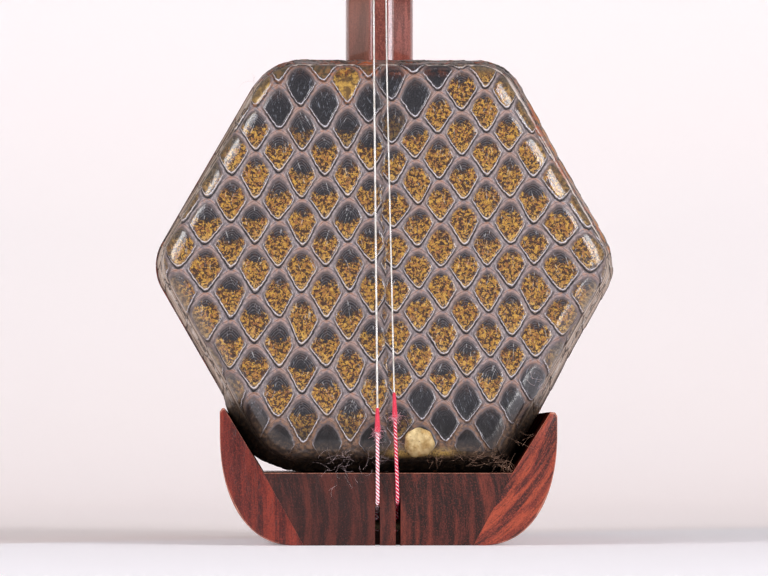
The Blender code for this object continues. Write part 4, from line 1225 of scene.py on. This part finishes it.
def head_station(t):
    a = math.radians(HEAD_TURN * t)
    y = HEAD_BEND_R * (1 - math.cos(a))
    z = NECK_STRAIGHT + 10 + HEAD_BEND_R * math.sin(a)
    swell = math.sin(math.pi * min(1.0, t * 1.15)) ** 0.8 if t > 0 else 0.0
    swell = max(0.0, swell)
    hy = NECK_HY * (1 - 0.62 * t ** 1.6) + 5.2 * swell
    hx = NECK_HX * (1 - 0.34 * t)
    return (0, y, z), a, hx, hy


def head_ring(centre, a, hx, hy, count=200, blend=0.0):
    across = Vector((0, math.cos(a), -math.sin(a)))
    return [Vector(centre) + Vector((1, 0, 0)) * x + across * y for x, y in neck_outline(hx, hy, blend, count)]


def build_neck():
    count = 200
    secs = []
    for z, r in ((4.5, 6.4), (5.3, 7.0), (NECK_SHOULDER - 0.15, 7.0)):
        secs.append([Vector((r * math.cos(a), r * math.sin(a), z))
                     for a in (2 * math.pi * (i + 0.5) / count for i in range(count))])
    zs = [(NECK_SHOULDER - 0.15, 0.96), (NECK_SHOULDER + 0.35, 1.0)]
    zs += [(NECK_SHOULDER + 0.35 + (NECK_STRAIGHT - NECK_SHOULDER) * t / 24, 1.0 - 0.015 * t / 24) for t in range(1, 24)]
    zs += [(NECK_STRAIGHT, 0.985)]
    for z, k in zs:
        secs.append([Vector((x * k, y * k, z)) for x, y in neck_outline(NECK_HX, NECK_HY, count=count)])
    for i in range(41):
        secs.append(head_ring(*head_station(i / 40), count=count, blend=smooth(i / 40, 0.05, 0.6)))
    v, f = loft_data(secs)
    ob = new_mesh("neck_stick", v, f, M_NECK, "frame", ("neck",), smooth=35)
    for w in ("lower", "upper"):
        cut_with(ob, *cylinder_data((0, -20, PEG_Z[w]), (0, 20, PEG_Z[w]), 4.95))
    ob.data.shade_smooth()
    ob.data.set_sharp_from_angle(angle=math.radians(35))
    add_bevel(ob, 0.3, 2, 50)

    c, a, hx, hy = head_station(1.0)
    along = Vector((0, math.sin(a), math.cos(a)))
    secs = []
    for i in range(17):
        t = i / 16
        d = 0.02 + 6.98 * math.sin(t * math.pi / 2)
        k = (1.0 + 0.06 * math.sin(min(1, t * 2) * math.pi / 2)) * max(0.06, math.cos(t * math.pi / 2) ** 0.62)
        secs.append(head_ring(Vector(c) + along * d, a, hx * k, hy * k, 64))
    v, f = loft_data(secs)
    new_mesh("head_tip", v, f, M_BONE, "frame", ("head_tip_cap",), smooth=50)


def flute(y, a):
    t = min(max((y - 30.0) / 14.0, 0.0), 1.0) * min(max((118.0 - y) / 8.0, 0.0), 1.0)
    t = t * t * (3 - 2 * t)
    # eight hollows with crisp ridges between them
    c = abs(math.cos(4 * a))
    return 1.0 - 0.085 * t * c ** 1.4


def dense_profile(profile, step):
    """Add points evenly along each straight segment of a turned profile."""
    out = []
    for (y0, r0), (y1, r1) in zip(profile, profile[1:]):
        n = max(1, int(math.hypot(y1 - y0, r1 - r0) / step))
        for k in range(n):
            out.append((y0 + (y1 - y0) * k / n, r0 + (r1 - r0) * k / n))
    out.append(profile[-1])
    return out


def build_peg(which):
    z, tip, end = PEG_Z[which], PEG_TIP_Y[which], PEG_END_Y
    body = which + "_peg"
    ctrl = [(16.0, 5.3), (24.0, 5.6), (34.0, 7.0), (50.0, 8.7), (70.0, 10.2), (90.0, 11.0), (106.0, 11.2),
            (114.0, 10.6), (119.0, 9.2), (121.5, 7.6)]
    curve = [(p.x, p.y) for p in catmull([(a, b, 0) for a, b in ctrl], 1.6)]
    profile = [(tip, 0.0), (tip, 3.1), (tip + 0.25, 3.55), (tip + 0.8, 3.9), (-9.6, 4.1), (9.3, 4.7),
               (9.3, 6.1), (9.6, 6.5), (10.3, 6.85), (11.4, 6.98), (12.6, 6.85), (13.3, 6.4), (13.8, 5.8)]
    profile += curve
    profile += [(122.2, 7.5), (123.0, 8.0), (124.0, 8.35), (125.0, 8.4), (126.2, 8.0), (127.2, 7.2), (end, 5.6),
                (end, 2.3), (end - 4.5, 2.3), (end - 4.5, 0.0)]
    v, f = lathe_data(profile, 0, z, 96, flute)
    new_mesh(which + "_tuning_peg", v, f, M_PEG, body, (which + "_peg",), smooth=32)

    profile = [(end - 4.2, 0.0), (end - 4.2, 2.05), (end + 0.1, 2.05), (end + 0.1, 4.5)]
    for i in range(13):
        a = math.radians(90 * i / 12)
        profile.append((end + 0.9 + 2.7 * math.sin(a), 4.9 * math.cos(a) ** 0.8 if i < 12 else 0.0))
    v, f = lathe_data(profile, 0, z, 48)
    new_mesh(which + "_peg_bone_button", v, f, M_BONE, body, (which + "_peg_button",), smooth=45)

    # turns of string, laid side by side, with the last one leaving them
    string_r = OUTER_R if which == "lower" else INNER_R
    yc, r = PEG_WIND_Y[which], 4.05 + string_r
    turns = 9
    pitch = 2 * string_r * 1.12
    path = []
    n = turns * 40
    for i in range(n + 1):
        t = i / n
        a = math.pi + 2 * math.pi * turns * t
        wob = 0.04 * math.sin(t * 37.0)
        path.append(Vector(((r + wob) * math.cos(a), yc + pitch * turns * (t - 0.5), z + (r + wob) * math.sin(a))))
    v, f = tube_data(path, string_r, 10)
    node = {"lower": "outer_string_winding", "upper": "inner_string_winding"}[which]
    new_mesh(node.replace("winding", "turns"), v, f, M_STRING, body, (node,), smooth=60)


# ------------------------------------------------------------------- strings
def string_path(which):
    peg = {"inner": "upper", "outer": "lower"}[which]
    r = {"inner": INNER_R, "outer": OUTER_R}[which]
    rim_x, silk_x, _ = STRING_X[which]
    pts = [Vector((-(4.05 + r), PEG_WIND_Y[peg], PEG_Z[peg])),
           Vector((STRING_QX[which], QIANJIN_Y, QIANJIN_Z)),
           Vector((rim_x, RIM[0], RIM[1])),
           Vector((silk_x, -49.95, SILK_TOP[which] - 0.6))]
    out = [pts[0]]
    for a, b, c in zip(pts, pts[1:], pts[2:]):
        da, dc = (a - b).normalized(), (c - b).normalized()
        for k in range(-6, 7):
            w = abs(k) / 6 * 3.0
            d = da if k < 0 else dc
            out.append(b + d * w + (da + dc) * 0.35 * (1 - abs(k) / 6) ** 2)
    out.append(pts[3])
    return out


def silk_path(which):
    _, silk_x, slot_x = STRING_X[which]
    top = SILK_TOP[which] - GAP
    enter = SLOT_TOP[which]
    r = PIN_R + SILK_R + 0.22
    slot_x -= {"inner": 0.0, "outer": 0.18}[which]
    dip = {"inner": 8.9, "outer": 9.4}[which]
    pts = [(silk_x, -49.95, top),
           (silk_x * 0.5 + slot_x * 0.5, -50.15, (top + enter) / 2),
           (slot_x, -50.25, dip + 2.2),
           (slot_x, -49.9, dip + 1.1),
           (slot_x, -48.9, dip + 0.3),
           (slot_x, -47.3, dip - 0.2),
           (slot_x, -44.5, dip - 1.4)]
    for a in (100, 70, 40, 10, -20, -50):
        pts.append((slot_x, PIN_Y + r * math.cos(math.radians(a)), PIN_Z + r * math.sin(math.radians(a))))
    return catmull(pts, 0.6)


def build_strings():
    for which in ("inner", "outer"):
        r = {"inner": INNER_R, "outer": OUTER_R}[which]
        v, f = tube_data(string_path(which), r, 14)
        new_mesh(which + "_metal_string", v, f, M_STRING, "frame", (which + "_string",), smooth=60)

        path, total = resample(silk_path(which), 0.055)
        ds = total / (len(path) - 1)
        frames = carried_frames(path)
        solid = {"inner": 5.6, "outer": 5.7}[which]
        tuft = {"inner": 2.2, "outer": 1.5}[which]
        fat = {"inner": (0.38, 0.64), "outer": (0.34, 0.58)}[which]
        # close binding that hides the end of the metal
        m = int(solid / ds)

        def bind(i):
            t = i / m
            prof = fat[0] + (fat[1] - fat[0]) * min(1.0, t * 1.15)
            prof *= min(1.0, 0.45 + t * 9.0)
            return prof + 0.030 * math.cos(2 * math.pi * i * ds / 0.24) + 0.012 * math.sin(i * 0.37)
        v, f = tube_data(path[:m + 1], bind, 20, frames[:m + 1])
        new_mesh(which + "_red_binding", v, f, M_RED, "frame",
                 (which + "_string_silk_tail",), smooth=70)

        # four twisted strands, red and white in turn
        start = m - int(0.4 / ds)
        sub, fr = path[start::3], frames[start::3]
        lead = {"inner": 1.60, "outer": 1.65}[which]
        n_red = {"inner": 0.165, "outer": 0.240}[which]
        for colour, phases, mat, rad in (("red", (0.0, math.pi), M_TWIST_RED, n_red),
                                         ("white", (math.pi / 2, 3 * math.pi / 2), M_TWIST_WHITE,
                                          {"inner": 0.225, "outer": 0.150}[which])):
            verts, faces = [], []
            for ph in phases:
                line = []
                for i, (p, (t, nn, b)) in enumerate(zip(sub, fr)):
                    a = ph - 2 * math.pi * i * ds * 3 / lead
                    rc = 0.215 * (1 + 0.05 * math.sin(i * 0.21 + ph))
                    line.append(p + rc * (math.cos(a) * nn + math.sin(a) * b))
                vv, ff = tube_data(line, rad, 8, None, len(verts))
                verts += vv
                faces += ff
            new_mesh("%s_tail_strands_%s" % (which, colour), verts, faces, mat, "frame", (), smooth=70)

        # the teased-out tuft between binding and twist
        rnd = random.Random(5 if which == "inner" else 9)
        verts, faces = [], []
        i0 = m - int(0.5 / ds)
        for _ in range(150 if which == "inner" else 130):
            i = i0 + int(abs(rnd.gauss(0, 0.55)) * tuft / ds * 0.8)
            i = min(i, len(path) - 2)
            t, nn, b = frames[i]
            a = rnd.uniform(0, 2 * math.pi)
            out_d = math.cos(a) * nn + math.sin(a) * b
            ln = abs(rnd.gauss(0.0, 1.0)) * 0.9 + 0.5
            p = path[i] + out_d * 0.25
            d = (out_d + t * rnd.uniform(-0.9, 1.1)).normalized()
            curl = Vector((rnd.gauss(0, 1), rnd.gauss(0, 1) * 0.6, rnd.gauss(0, 1))).normalized()
            line = [p]
            for _k in range(6):
                d = (d + curl * 0.30 + t * 0.10).normalized()
                nxt = line[-1] + d * (ln / 6)
                nxt.y = min(nxt.y, -48.9)
                line.append(nxt)
            vv, ff = tube_data(line, lambda q: 0.030 * (1 - q / 8.0), 4, None, len(verts))
            verts += vv
            faces += ff
        new_mesh(which + "_tail_fluff", verts, faces, M_FUZZ, "frame", (), smooth=70)


def build_qianjin():
    """Turns of waxed thread round the neck and both strings, and a knot."""
    lo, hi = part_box("qianjin_loop")
    front = QIANJIN_Y - INNER_R - 10.0 * ((RIM[0] - QIANJIN_Y) / (RIM[1] - QIANJIN_Z)) - GAP
    xm = 0.5 * (STRING_QX["inner"] + STRING_QX["outer"])
    cloud = [(x, y) for x, y in superellipse(NECK_HX, NECK_HY, count=96)]
    for i in range(48):
        a = 2 * math.pi * i / 48
        cloud.append((xm + 1.6 * math.cos(a), front + 1.6 + 1.6 * math.sin(a)))
    pts = sorted(set((round(a, 4), round(b, 4)) for a, b in cloud))

    def half(seq):
        h = []
        for p in seq:
            while len(h) > 1 and ((h[-1][0] - h[-2][0]) * (p[1] - h[-2][1])
                                  - (h[-1][1] - h[-2][1]) * (p[0] - h[-2][0])) <= 0:
                h.pop()
            h.append(p)
        return h[:-1]
    hull = half(pts) + half(list(reversed(pts)))
    ring, _ = resample([Vector((a, b, 0)) for a, b in hull + hull[:1]], 0.55)
    ring = ring[:-1]
    n = len(ring)
    turns, r = 15, 0.27
    path = []
    for i in range(turns * n + 1):
        p, q = ring[i % n], ring[(i + 1) % n]
        o = ring[i - 1 if i % n else -1] if False else ring[(i - 1) % n]
        d = (q - o)
        out = Vector((d.y, -d.x, 0)).normalized()
        off = 0.42 + r + 0.05 * math.sin(i * 0.13) + 0.03 * math.sin(i * 0.031)
        z = QIANJIN_Z - (turns * 0.5) * 0.52 + 0.52 * i / n
        path.append(Vector((p.x, p.y, z)) + out * off)
    v, f = tube_data(path, r, 8)
    # a small knot on the rear
    knot = []
    for i in range(60):
        a = 2 * math.pi * i / 60 * 2
        c = 2 * math.pi * i / 60 * 3
        knot.append(Vector(((0.7 + 0.28 * math.cos(c)) * math.cos(a) * 1.1, NECK_HY + 1.05 + 0.28 * math.sin(c),
                            QIANJIN_Z + (0.7 + 0.28 * math.cos(c)) * math.sin(a) * 1.2)))
    vv, ff = tube_data(knot, 0.2, 8, None, len(v))
    new_mesh("qianjin_thread_turns", v + vv, f + ff, M_THREAD, "qianjin", ("qianjin_loop",), smooth=60)


# ---------------------------------------------------------------------- base
def wing_outline(side, steps=48):
    d = BASE_L if side == "left" else BASE_R
    s = -1.0 if side == "left" else 1.0
    cx = d["outer"] - s * BASE_CURVE_A
    g = 0.03
    pts = [(d["under"] + s * g, 0.0), (d["foot"] + s * g, BASE_FLAT_Z), (d["ledge"], d["top"]),
           (d["outer"] - s * 0.5, d["top"] - 0.1), (d["outer"], d["top"] - 0.9)]
    for i in range(steps + 1):
        t = math.radians(90 * i / steps)
        u = math.cos(t) ** (2 / BASE_CURVE_N)
        v = math.sin(t) ** (2 / BASE_CURVE_N)
        pts.append((cx + s * BASE_CURVE_A * u, BASE_CURVE_B - BASE_CURVE_B * v))
    return pts


def mark_slopes(ob, test):
    """Face-wise values read by the base's finish: seat faces that get painted shade, and front arrises that get a
    lighter worn colour with a painted highlight.
    """
    me = ob.data
    at = me.attributes.new("slope", 'FLOAT', 'FACE')
    at.data.foreach_set("value", [1.0 if test(p) else 0.0 for p in me.polygons])
    at = me.attributes.new("arris", 'FLOAT', 'FACE')
    at.data.foreach_set("value", [1.0 if p.center.y < (BASE_FRONT + 0.46) * MM and 0.15 < -p.normal.y < 0.93
                                  and p.center.z > 0.6 * MM else 0.0 for p in me.polygons])


def build_base():
    for side, mat in (("left", M_BASE_L), ("right", M_BASE_R)):
        outline = wing_outline(side)
        ch = 0.45
        cx = sum(p[0] for p in outline) / len(outline)
        cz = sum(p[1] for p in outline) / len(outline)
        secs = []
        n_depth = 10
        for y, inset in [(BASE_FRONT, ch), (BASE_FRONT + 0.14, ch * 0.42), (BASE_FRONT + ch, 0.0)] \
                + [(BASE_FRONT + ch + (BASE_REAR - BASE_FRONT - 2 * ch) * i / n_depth, 0.0) for i in range(1, n_depth)] \
                + [(BASE_REAR - ch, 0.0), (BASE_REAR - 0.14, ch * 0.42), (BASE_REAR, ch)]:
            sec = []
            for i, (a, b) in enumerate(outline):
                if i == 0:
                    sec.append((a, y, b + inset))
                elif i == 1:
                    sec.append((a, y, b - inset * 0.3))
                else:
                    dx, dz = cx - a, cz - b
                    ln = math.hypot(dx, dz)
                    k = inset / ln
                    sec.append((a + dx * k, y, b + dz * k))
            secs.append(sec)
        v, f = loft_data(secs)
        ob = new_mesh("base_wing_" + side, v, f, mat, "frame",
                      ("base_%s_wing" % side,), smooth=30)
        inward = 1.0 if side == "left" else -1.0
        mark_slopes(ob, lambda p: p.normal.x * inward > 0.55 and abs(p.normal.y) < 0.2
                    and p.center.z > (BASE_FLAT_Z - 1.0) * MM)

    # centre block, a hair from the wings so that the glue line shows
    g = 0.03
    ch = 0.4
    secs = []
    for y, inset in ((BASE_FRONT, ch), (BASE_FRONT + 0.13, ch * 0.4), (BASE_FRONT + ch, 0.0),
                     (BASE_REAR - ch, 0.0), (BASE_REAR - 0.13, ch * 0.4), (BASE_REAR, ch)):
        secs.append([(BASE_L["under"] + g, y, inset), (BASE_R["under"] - g, y, inset),
                     (BASE_R["foot"] - g, y, BASE_FLAT_Z - inset * 0.5), (BASE_L["foot"] + g, y, BASE_FLAT_Z - inset * 0.5)])
    v, f = loft_data(secs)
    ob = new_mesh("base_centre", v, f, M_BASE_C, "frame", ("base_centre_block",), smooth=30)
    cut_with(ob, *cylinder_data((0, 0, 4.2), (0, 0, 40), 7.1))

    def box_data(lo, hi):
        (x0, y0, z0), (x1, y1, z1) = lo, hi
        return ([(x0, y0, z0), (x1, y0, z0), (x1, y1, z0), (x0, y1, z0),
                 (x0, y0, z1), (x1, y0, z1), (x1, y1, z1), (x0, y1, z1)],
                [(0, 3, 2, 1), (4, 5, 6, 7), (0, 1, 5, 4), (1, 2, 6, 5), (2, 3, 7, 6), (3, 0, 4, 7)])
    cut_with(ob, *box_data((-6.2, PIN_Y - PIN_R - GAP, -2.0), (7.2, PIN_Y + PIN_R + GAP, PIN_Z + PIN_R + GAP)))
    for which in ("inner", "outer"):
        x = STRING_X[which][2]
        cut_with(ob, *box_data((x - 0.56, BASE_FRONT - 3, -2.0),
                               (x + 0.56, PIN_Y + PIN_R + 2 * SILK_R + 1.2, SLOT_TOP[which])))
    ob.data.shade_smooth()
    ob.data.set_sharp_from_angle(angle=math.radians(30))
    mark_slopes(ob, lambda p: p.normal.z > 0.8 and p.center.z > (BASE_FLAT_Z - 1.0) * MM)

    v, f = lathe_like_pin()
    new_mesh("anchor_pin", v, f, M_BRASS, "frame", ("string_anchor_pin",), smooth=40)


def lathe_like_pin():
    """Anchor pin along X with rounded ends."""
    secs = []
    for x, r in ((-5.9, 0.5), (-5.8, 0.8), (-5.5, 0.97), (-5.2, 1.0), (6.2, 1.0), (6.5, 0.97), (6.8, 0.8), (6.9, 0.5)):
        secs.append([(x, PIN_Y + r * math.cos(a), PIN_Z + r * math.sin(a))
                     for a in (2 * math.pi * i / 32 for i in range(32))])
    return loft_data(secs)


def build_tack():
    """Hand-cut brass tack: uneven outline, domed and dented head, plain shank."""
    t = math.radians(TACK_TILT)
    out = Vector((0, -math.cos(t), -math.sin(t)))
    seat = Vector((TACK_X, SKIN_FRONT - 0.45, TACK_Z))
    side = Vector((1, 0, 0))
    up = side.cross(out) * -1
    n = 96

    def outline(a):
        # a soft seven-sided outline
        return 1.0 + 0.030 * math.cos(7 * a + 0.9) + 0.022 * math.cos(3 * a + 0.5) + 0.016 * math.cos(4 * a + 2.1)
    rings = [(-8.8, 0.02), (-8.0, 0.42), (0.0, 0.48), (0.0, TACK_R * 0.97)]
    dome = []
    for i in range(15):
        q = i / 14
        r = TACK_R * (1 - q) + 0.001
        dome.append((0.22 + 0.85 * (1 - (1 - min(1.0, q * 1.25)) ** 2.2) ** 0.8, r))
    verts, faces = [], []
    allr = rings + dome
    for idx, (d, r) in enumerate(allr):
        for i in range(n):
            a = 2 * math.pi * i / n
            k = outline(a) if r > 0.6 else 1.0
            rr = r * k
            dd = d
            if idx >= len(rings):
                x, y = rr * math.cos(a), rr * math.sin(a)
                dent = 0.055 * math.sin(1.9 * x + 0.6) * math.sin(2.3 * y + 1.1) + 0.03 * math.sin(4.1 * x + 2.0 * y)
                dent -= 0.08 * math.exp(-((x + 1.1) ** 2 + (y - 1.2) ** 2) / 0.10)
                dent -= 0.06 * math.exp(-((x - 1.3) ** 2 + (y + 0.6) ** 2) / 0.14)
                dd = d + dent * min(1.0, (TACK_R - r) / 0.8 + 0.15)
            verts.append(tuple(seat + out * dd + side * (rr * math.cos(a)) + up * (rr * math.sin(a))))
    for k in range(len(allr) - 1):
        for i in range(n):
            j = (i + 1) % n
            faces.append((k * n + i, k * n + j, (k + 1) * n + j, (k + 1) * n + i))
    faces.append(tuple(reversed(range(n))))
    faces.append(tuple(range((len(allr) - 1) * n, len(allr) * n)))
    new_mesh("brass_tack_head", verts, faces, M_TACK, "frame", ("brass_tack",), smooth=50)


def fibres(name, seed, spots, mat, r=0.022):
    """Lint caught on the varnish: thin curled hairs lying close to the surface."""
    rnd = random.Random(seed)
    verts, faces = [], []
    for (cx, cz, sx_, sz_, y, count, length) in spots:
        for _ in range(count):
            p = Vector((cx + rnd.gauss(0, sx_), y - abs(rnd.gauss(0, 0.25)), cz + rnd.gauss(0, sz_)))
            ang = rnd.gauss(0.25, 1.0)
            d = Vector((math.cos(ang), 0, math.sin(ang))) * rnd.choice((-1, 1))
            spin = rnd.gauss(0, 0.13)
            ln = length * rnd.uniform(0.4, 1.5)
            line = [p]
            for _k in range(9):
                a = spin * (1 + rnd.gauss(0, 0.2))
                d = Vector((d.x * math.cos(a) - d.z * math.sin(a), rnd.gauss(0, 0.04), d.x * math.sin(a) + d.z * math.cos(a)))
                nxt = line[-1] + d * (ln / 9)
                nxt.y = min(nxt.y, y)
                line.append(nxt)
            vv, ff = tube_data(line, lambda q: r * (1 - q / 16.0), 4, None, len(verts))
            verts += vv
            faces += ff
    return new_mesh(name, verts, faces, mat, "frame", (), smooth=70)


def build_fibres():
    fibres("lint_pale", 3, [(-11.5, 18.6, 2.0, 0.9, -49.3, 16, 3.0), (-9.3, 20.6, 0.8, 0.4, -49.4, 9, 1.0),
                            (-2.0, 19.6, 1.6, 1.2, -49.6, 14, 3.0), (0.0, 26.0, 2.4, 2.4, -49.6, 10, 3.6),
                            (-8.0, 14.5, 2.5, 2.0, -49.7, 9, 3.2)], M_LINT, 0.014)
    fibres("lint_brown", 8, [(26.5, 18.3, 1.8, 0.8, -49.2, 34, 3.0), (21.0, 19.8, 3.0, 0.7, -49.4, 24, 2.6),
                             (30.5, 22.5, 1.2, 1.6, -49.2, 5, 4.0), (12.0, 20.0, 1.4, 0.6, -49.2, 10, 2.0)],
           M_LINT_BROWN, 0.018)
    fibres("lint_edge", 12, [(-29.5, 105.5, 0.6, 0.8, -44.0, 3, 3.2), (34.0, 36.0, 0.8, 1.2, -48.2, 8, 3.0)],
           M_LINT, 0.018)


# --------------------------------------------------------------------- stage
def stage():
    m = Mat("pale_cloth", rough=0.85, spec=0.2)
    x, y, z = m.place()
    twill = m.op('SINE', (x * 0.75 + y * 0.75) * 3.0)
    weft = m.op('SINE', (x * 0.75 - y * 0.75) * 7.0)
    n = m.noise(m.join(x, y, z), 0.05, 4.0, 0.6)
    col = m.mix(twill.step(-0.2, 1.0) * 0.5, srgb(252, 248, 255), srgb(244, 239, 247))
    col = m.mix(n.step(0.45, 0.75) * 0.3, col, srgb(243, 237, 245))
    far = (x * x + y * y).sqrt().step(900.0, 1250.0)
    m.color(m.mix(far, col, (0.0, 0.0, 0.0)))
    m.put(m.bsdf.inputs["Emission Color"], m.mix(far, (1.0, 0.985, 1.0), srgb(250, 242, 242)))
    m.put(m.bsdf.inputs["Emission Strength"], 0.17 + far * 0.75)
    m.bump(twill * 0.05 + weft * 0.03, 0.001)
    cloth = m.mat
    m = Mat("pale_backdrop", rough=0.9, spec=0.1)
    x, y, z = m.place()
    g = (z * 0.0085).clamp()
    col = m.mix(g, srgb(252, 241, 242), srgb(250, 242, 243))
    n = m.noise(m.join(x, y, z), 0.004, 2.0, 0.5)
    col = m.mix(n.step(0.3, 0.7) * 0.25, col, srgb(246, 240, 246))
    # far from the instrument the paper melts into the pale room
    far = (x * x + y * y).sqrt().step(1080.0, 1500.0)
    m.color(m.mix(far, col, (0.0, 0.0, 0.0)))
    m.put(m.bsdf.inputs["Emission Color"],
          m.mix(far, m.mix(g, srgb(250, 238, 236), srgb(246, 250, 252)), srgb(250, 242, 242)))
    m.put(m.bsdf.inputs["Emission Strength"], (0.16 - g * 0.10) * (1.0 - far) + far * 0.92)
    m.put(m.bsdf.inputs["Specular IOR Level"], 0.1 - far * 0.1)
    wall = m.mat

    def sheet(name, pts, half, mat):
        mesh = bpy.data.meshes.new(name)
        verts, faces = [], []
        for y, z in pts:
            verts += [(-half, y, z), (half, y, z)]
        for i in range(len(pts) - 1):
            faces.append((2 * i, 2 * i + 1, 2 * i + 3, 2 * i + 2))
        mesh.from_pydata(verts, [], faces)
        mesh.shade_smooth()
        ob = bpy.data.objects.new(name, mesh)
        bpy.context.scene.collection.objects.link(ob)
        mesh.materials.append(mat)
        return ob
    mesh = bpy.data.meshes.new("table_cloth")
    # the cloth ends in a slanting edge behind the base
    mesh.from_pydata([(-0.94, -0.79, 0), (1.2, -0.79, 0), (1.2, 1.119, 0), (-0.94, -0.785, 0)],
                     [], [(0, 1, 2, 3)])
    ob = bpy.data.objects.new("table_cloth", mesh)
    bpy.context.scene.collection.objects.link(ob)
    mesh.materials.append(cloth)
    sweep = [(-1.1, -0.0005), (0.17, -0.0005)]
    for i in range(13):
        a = math.radians(64 * i / 12)
        sweep.append((0.55 + 0.5 * math.sin(a), 0.5 - 0.5 * math.cos(a) - 0.0005))
    sheet("backdrop", sweep, 2.0, wall)


def area(name, loc, target, size, size_y, power, color=(1, 1, 1)):
    data = bpy.data.lights.new(name, 'AREA')
    data.shape = 'RECTANGLE'
    data.size, data.size_y = size, size_y
    data.energy = power
    data.color = color
    ob = bpy.data.objects.new(name, data)
    ob.location = loc
    d = Vector(target) - Vector(loc)
    ob.rotation_euler = d.to_track_quat('-Z', 'Y').to_euler()
    bpy.context.scene.collection.objects.link(ob)
    return ob


def lights_and_camera():
    world = bpy.data.worlds.new("studio")
    bpy.context.scene.world = world
    world.use_nodes = True
    bg = world.node_tree.nodes["Background"]
    bg.inputs[0].default_value = (1.0, 0.985, 0.98, 1.0)
    bg.inputs[1].default_value = 0.17
    # the studio round the set is pale to look at, without flooding the object
    tree = world.node_tree
    seen = tree.nodes.new('ShaderNodeBackground')
    seen.inputs[0].default_value = (*srgb(250, 242, 242), 1.0)
    seen.inputs[1].default_value = 0.92
    ray, pick = tree.nodes.new('ShaderNodeLightPath'), tree.nodes.new('ShaderNodeMixShader')
    tree.links.new(ray.outputs['Is Camera Ray'], pick.inputs[0])
    tree.links.new(bg.outputs[0], pick.inputs[1])
    tree.links.new(seen.outputs[0], pick.inputs[2])
    tree.links.new(pick.outputs[0], tree.nodes['World Output'].inputs['Surface'])
    aim = (0, 0, 0.06)
    area("softbox_left", (-0.95, -0.66, 0.50), aim, 0.55, 0.8, 9.0, (1.0, 0.98, 0.97))
    area("softbox_right", (0.95, -0.66, 0.50), aim, 0.55, 0.8, 9.0, (1.0, 0.98, 0.97))
    # two narrow strips, high up: thin bright lines along the polished neck
    area("strip_left", (-0.575, -0.95, 0.43), (0, 0, 0.43), 0.08, 0.5, 1.25, (0.95, 0.93, 1.0))
    area("strip_right", (0.60, -0.95, 0.43), (0, 0, 0.43), 0.10, 0.5, 2.6, (0.95, 0.93, 1.0))
    area("low_fill", (0.55, -1.25, 0.03), aim, 0.5, 0.10, 1.6, (1.0, 0.98, 0.97))
    wash = area("back_wash", (0.0, 0.30, 1.5), (0.0, 1.0, 0.35), 1.8, 0.3, 2.95, (0.985, 0.965, 0.975))
    wash.data.spread = math.radians(95)
    cam = bpy.data.cameras.new("camera")
    cam.sensor_width = 36.0
    cam.lens = 187.0
    cam.clip_start = 0.01
    ob = bpy.data.objects.new("camera", cam)
    ob.location = (-0.0279, -0.949, 0.0215)
    ob.rotation_euler = (math.radians(90 + 2.326), 0.0, math.radians(-1.752))
    bpy.context.scene.collection.objects.link(ob)
    bpy.context.scene.camera = ob
    bpy.context.scene.view_settings.view_transform = 'Standard'


lights_and_camera()
stage()
build_skin()
build_boards()
build_window()
build_neck()
for _w in ("lower", "upper"):
    build_peg(_w)
build_strings()
build_qianjin()
build_base()
build_tack()
build_fibres()
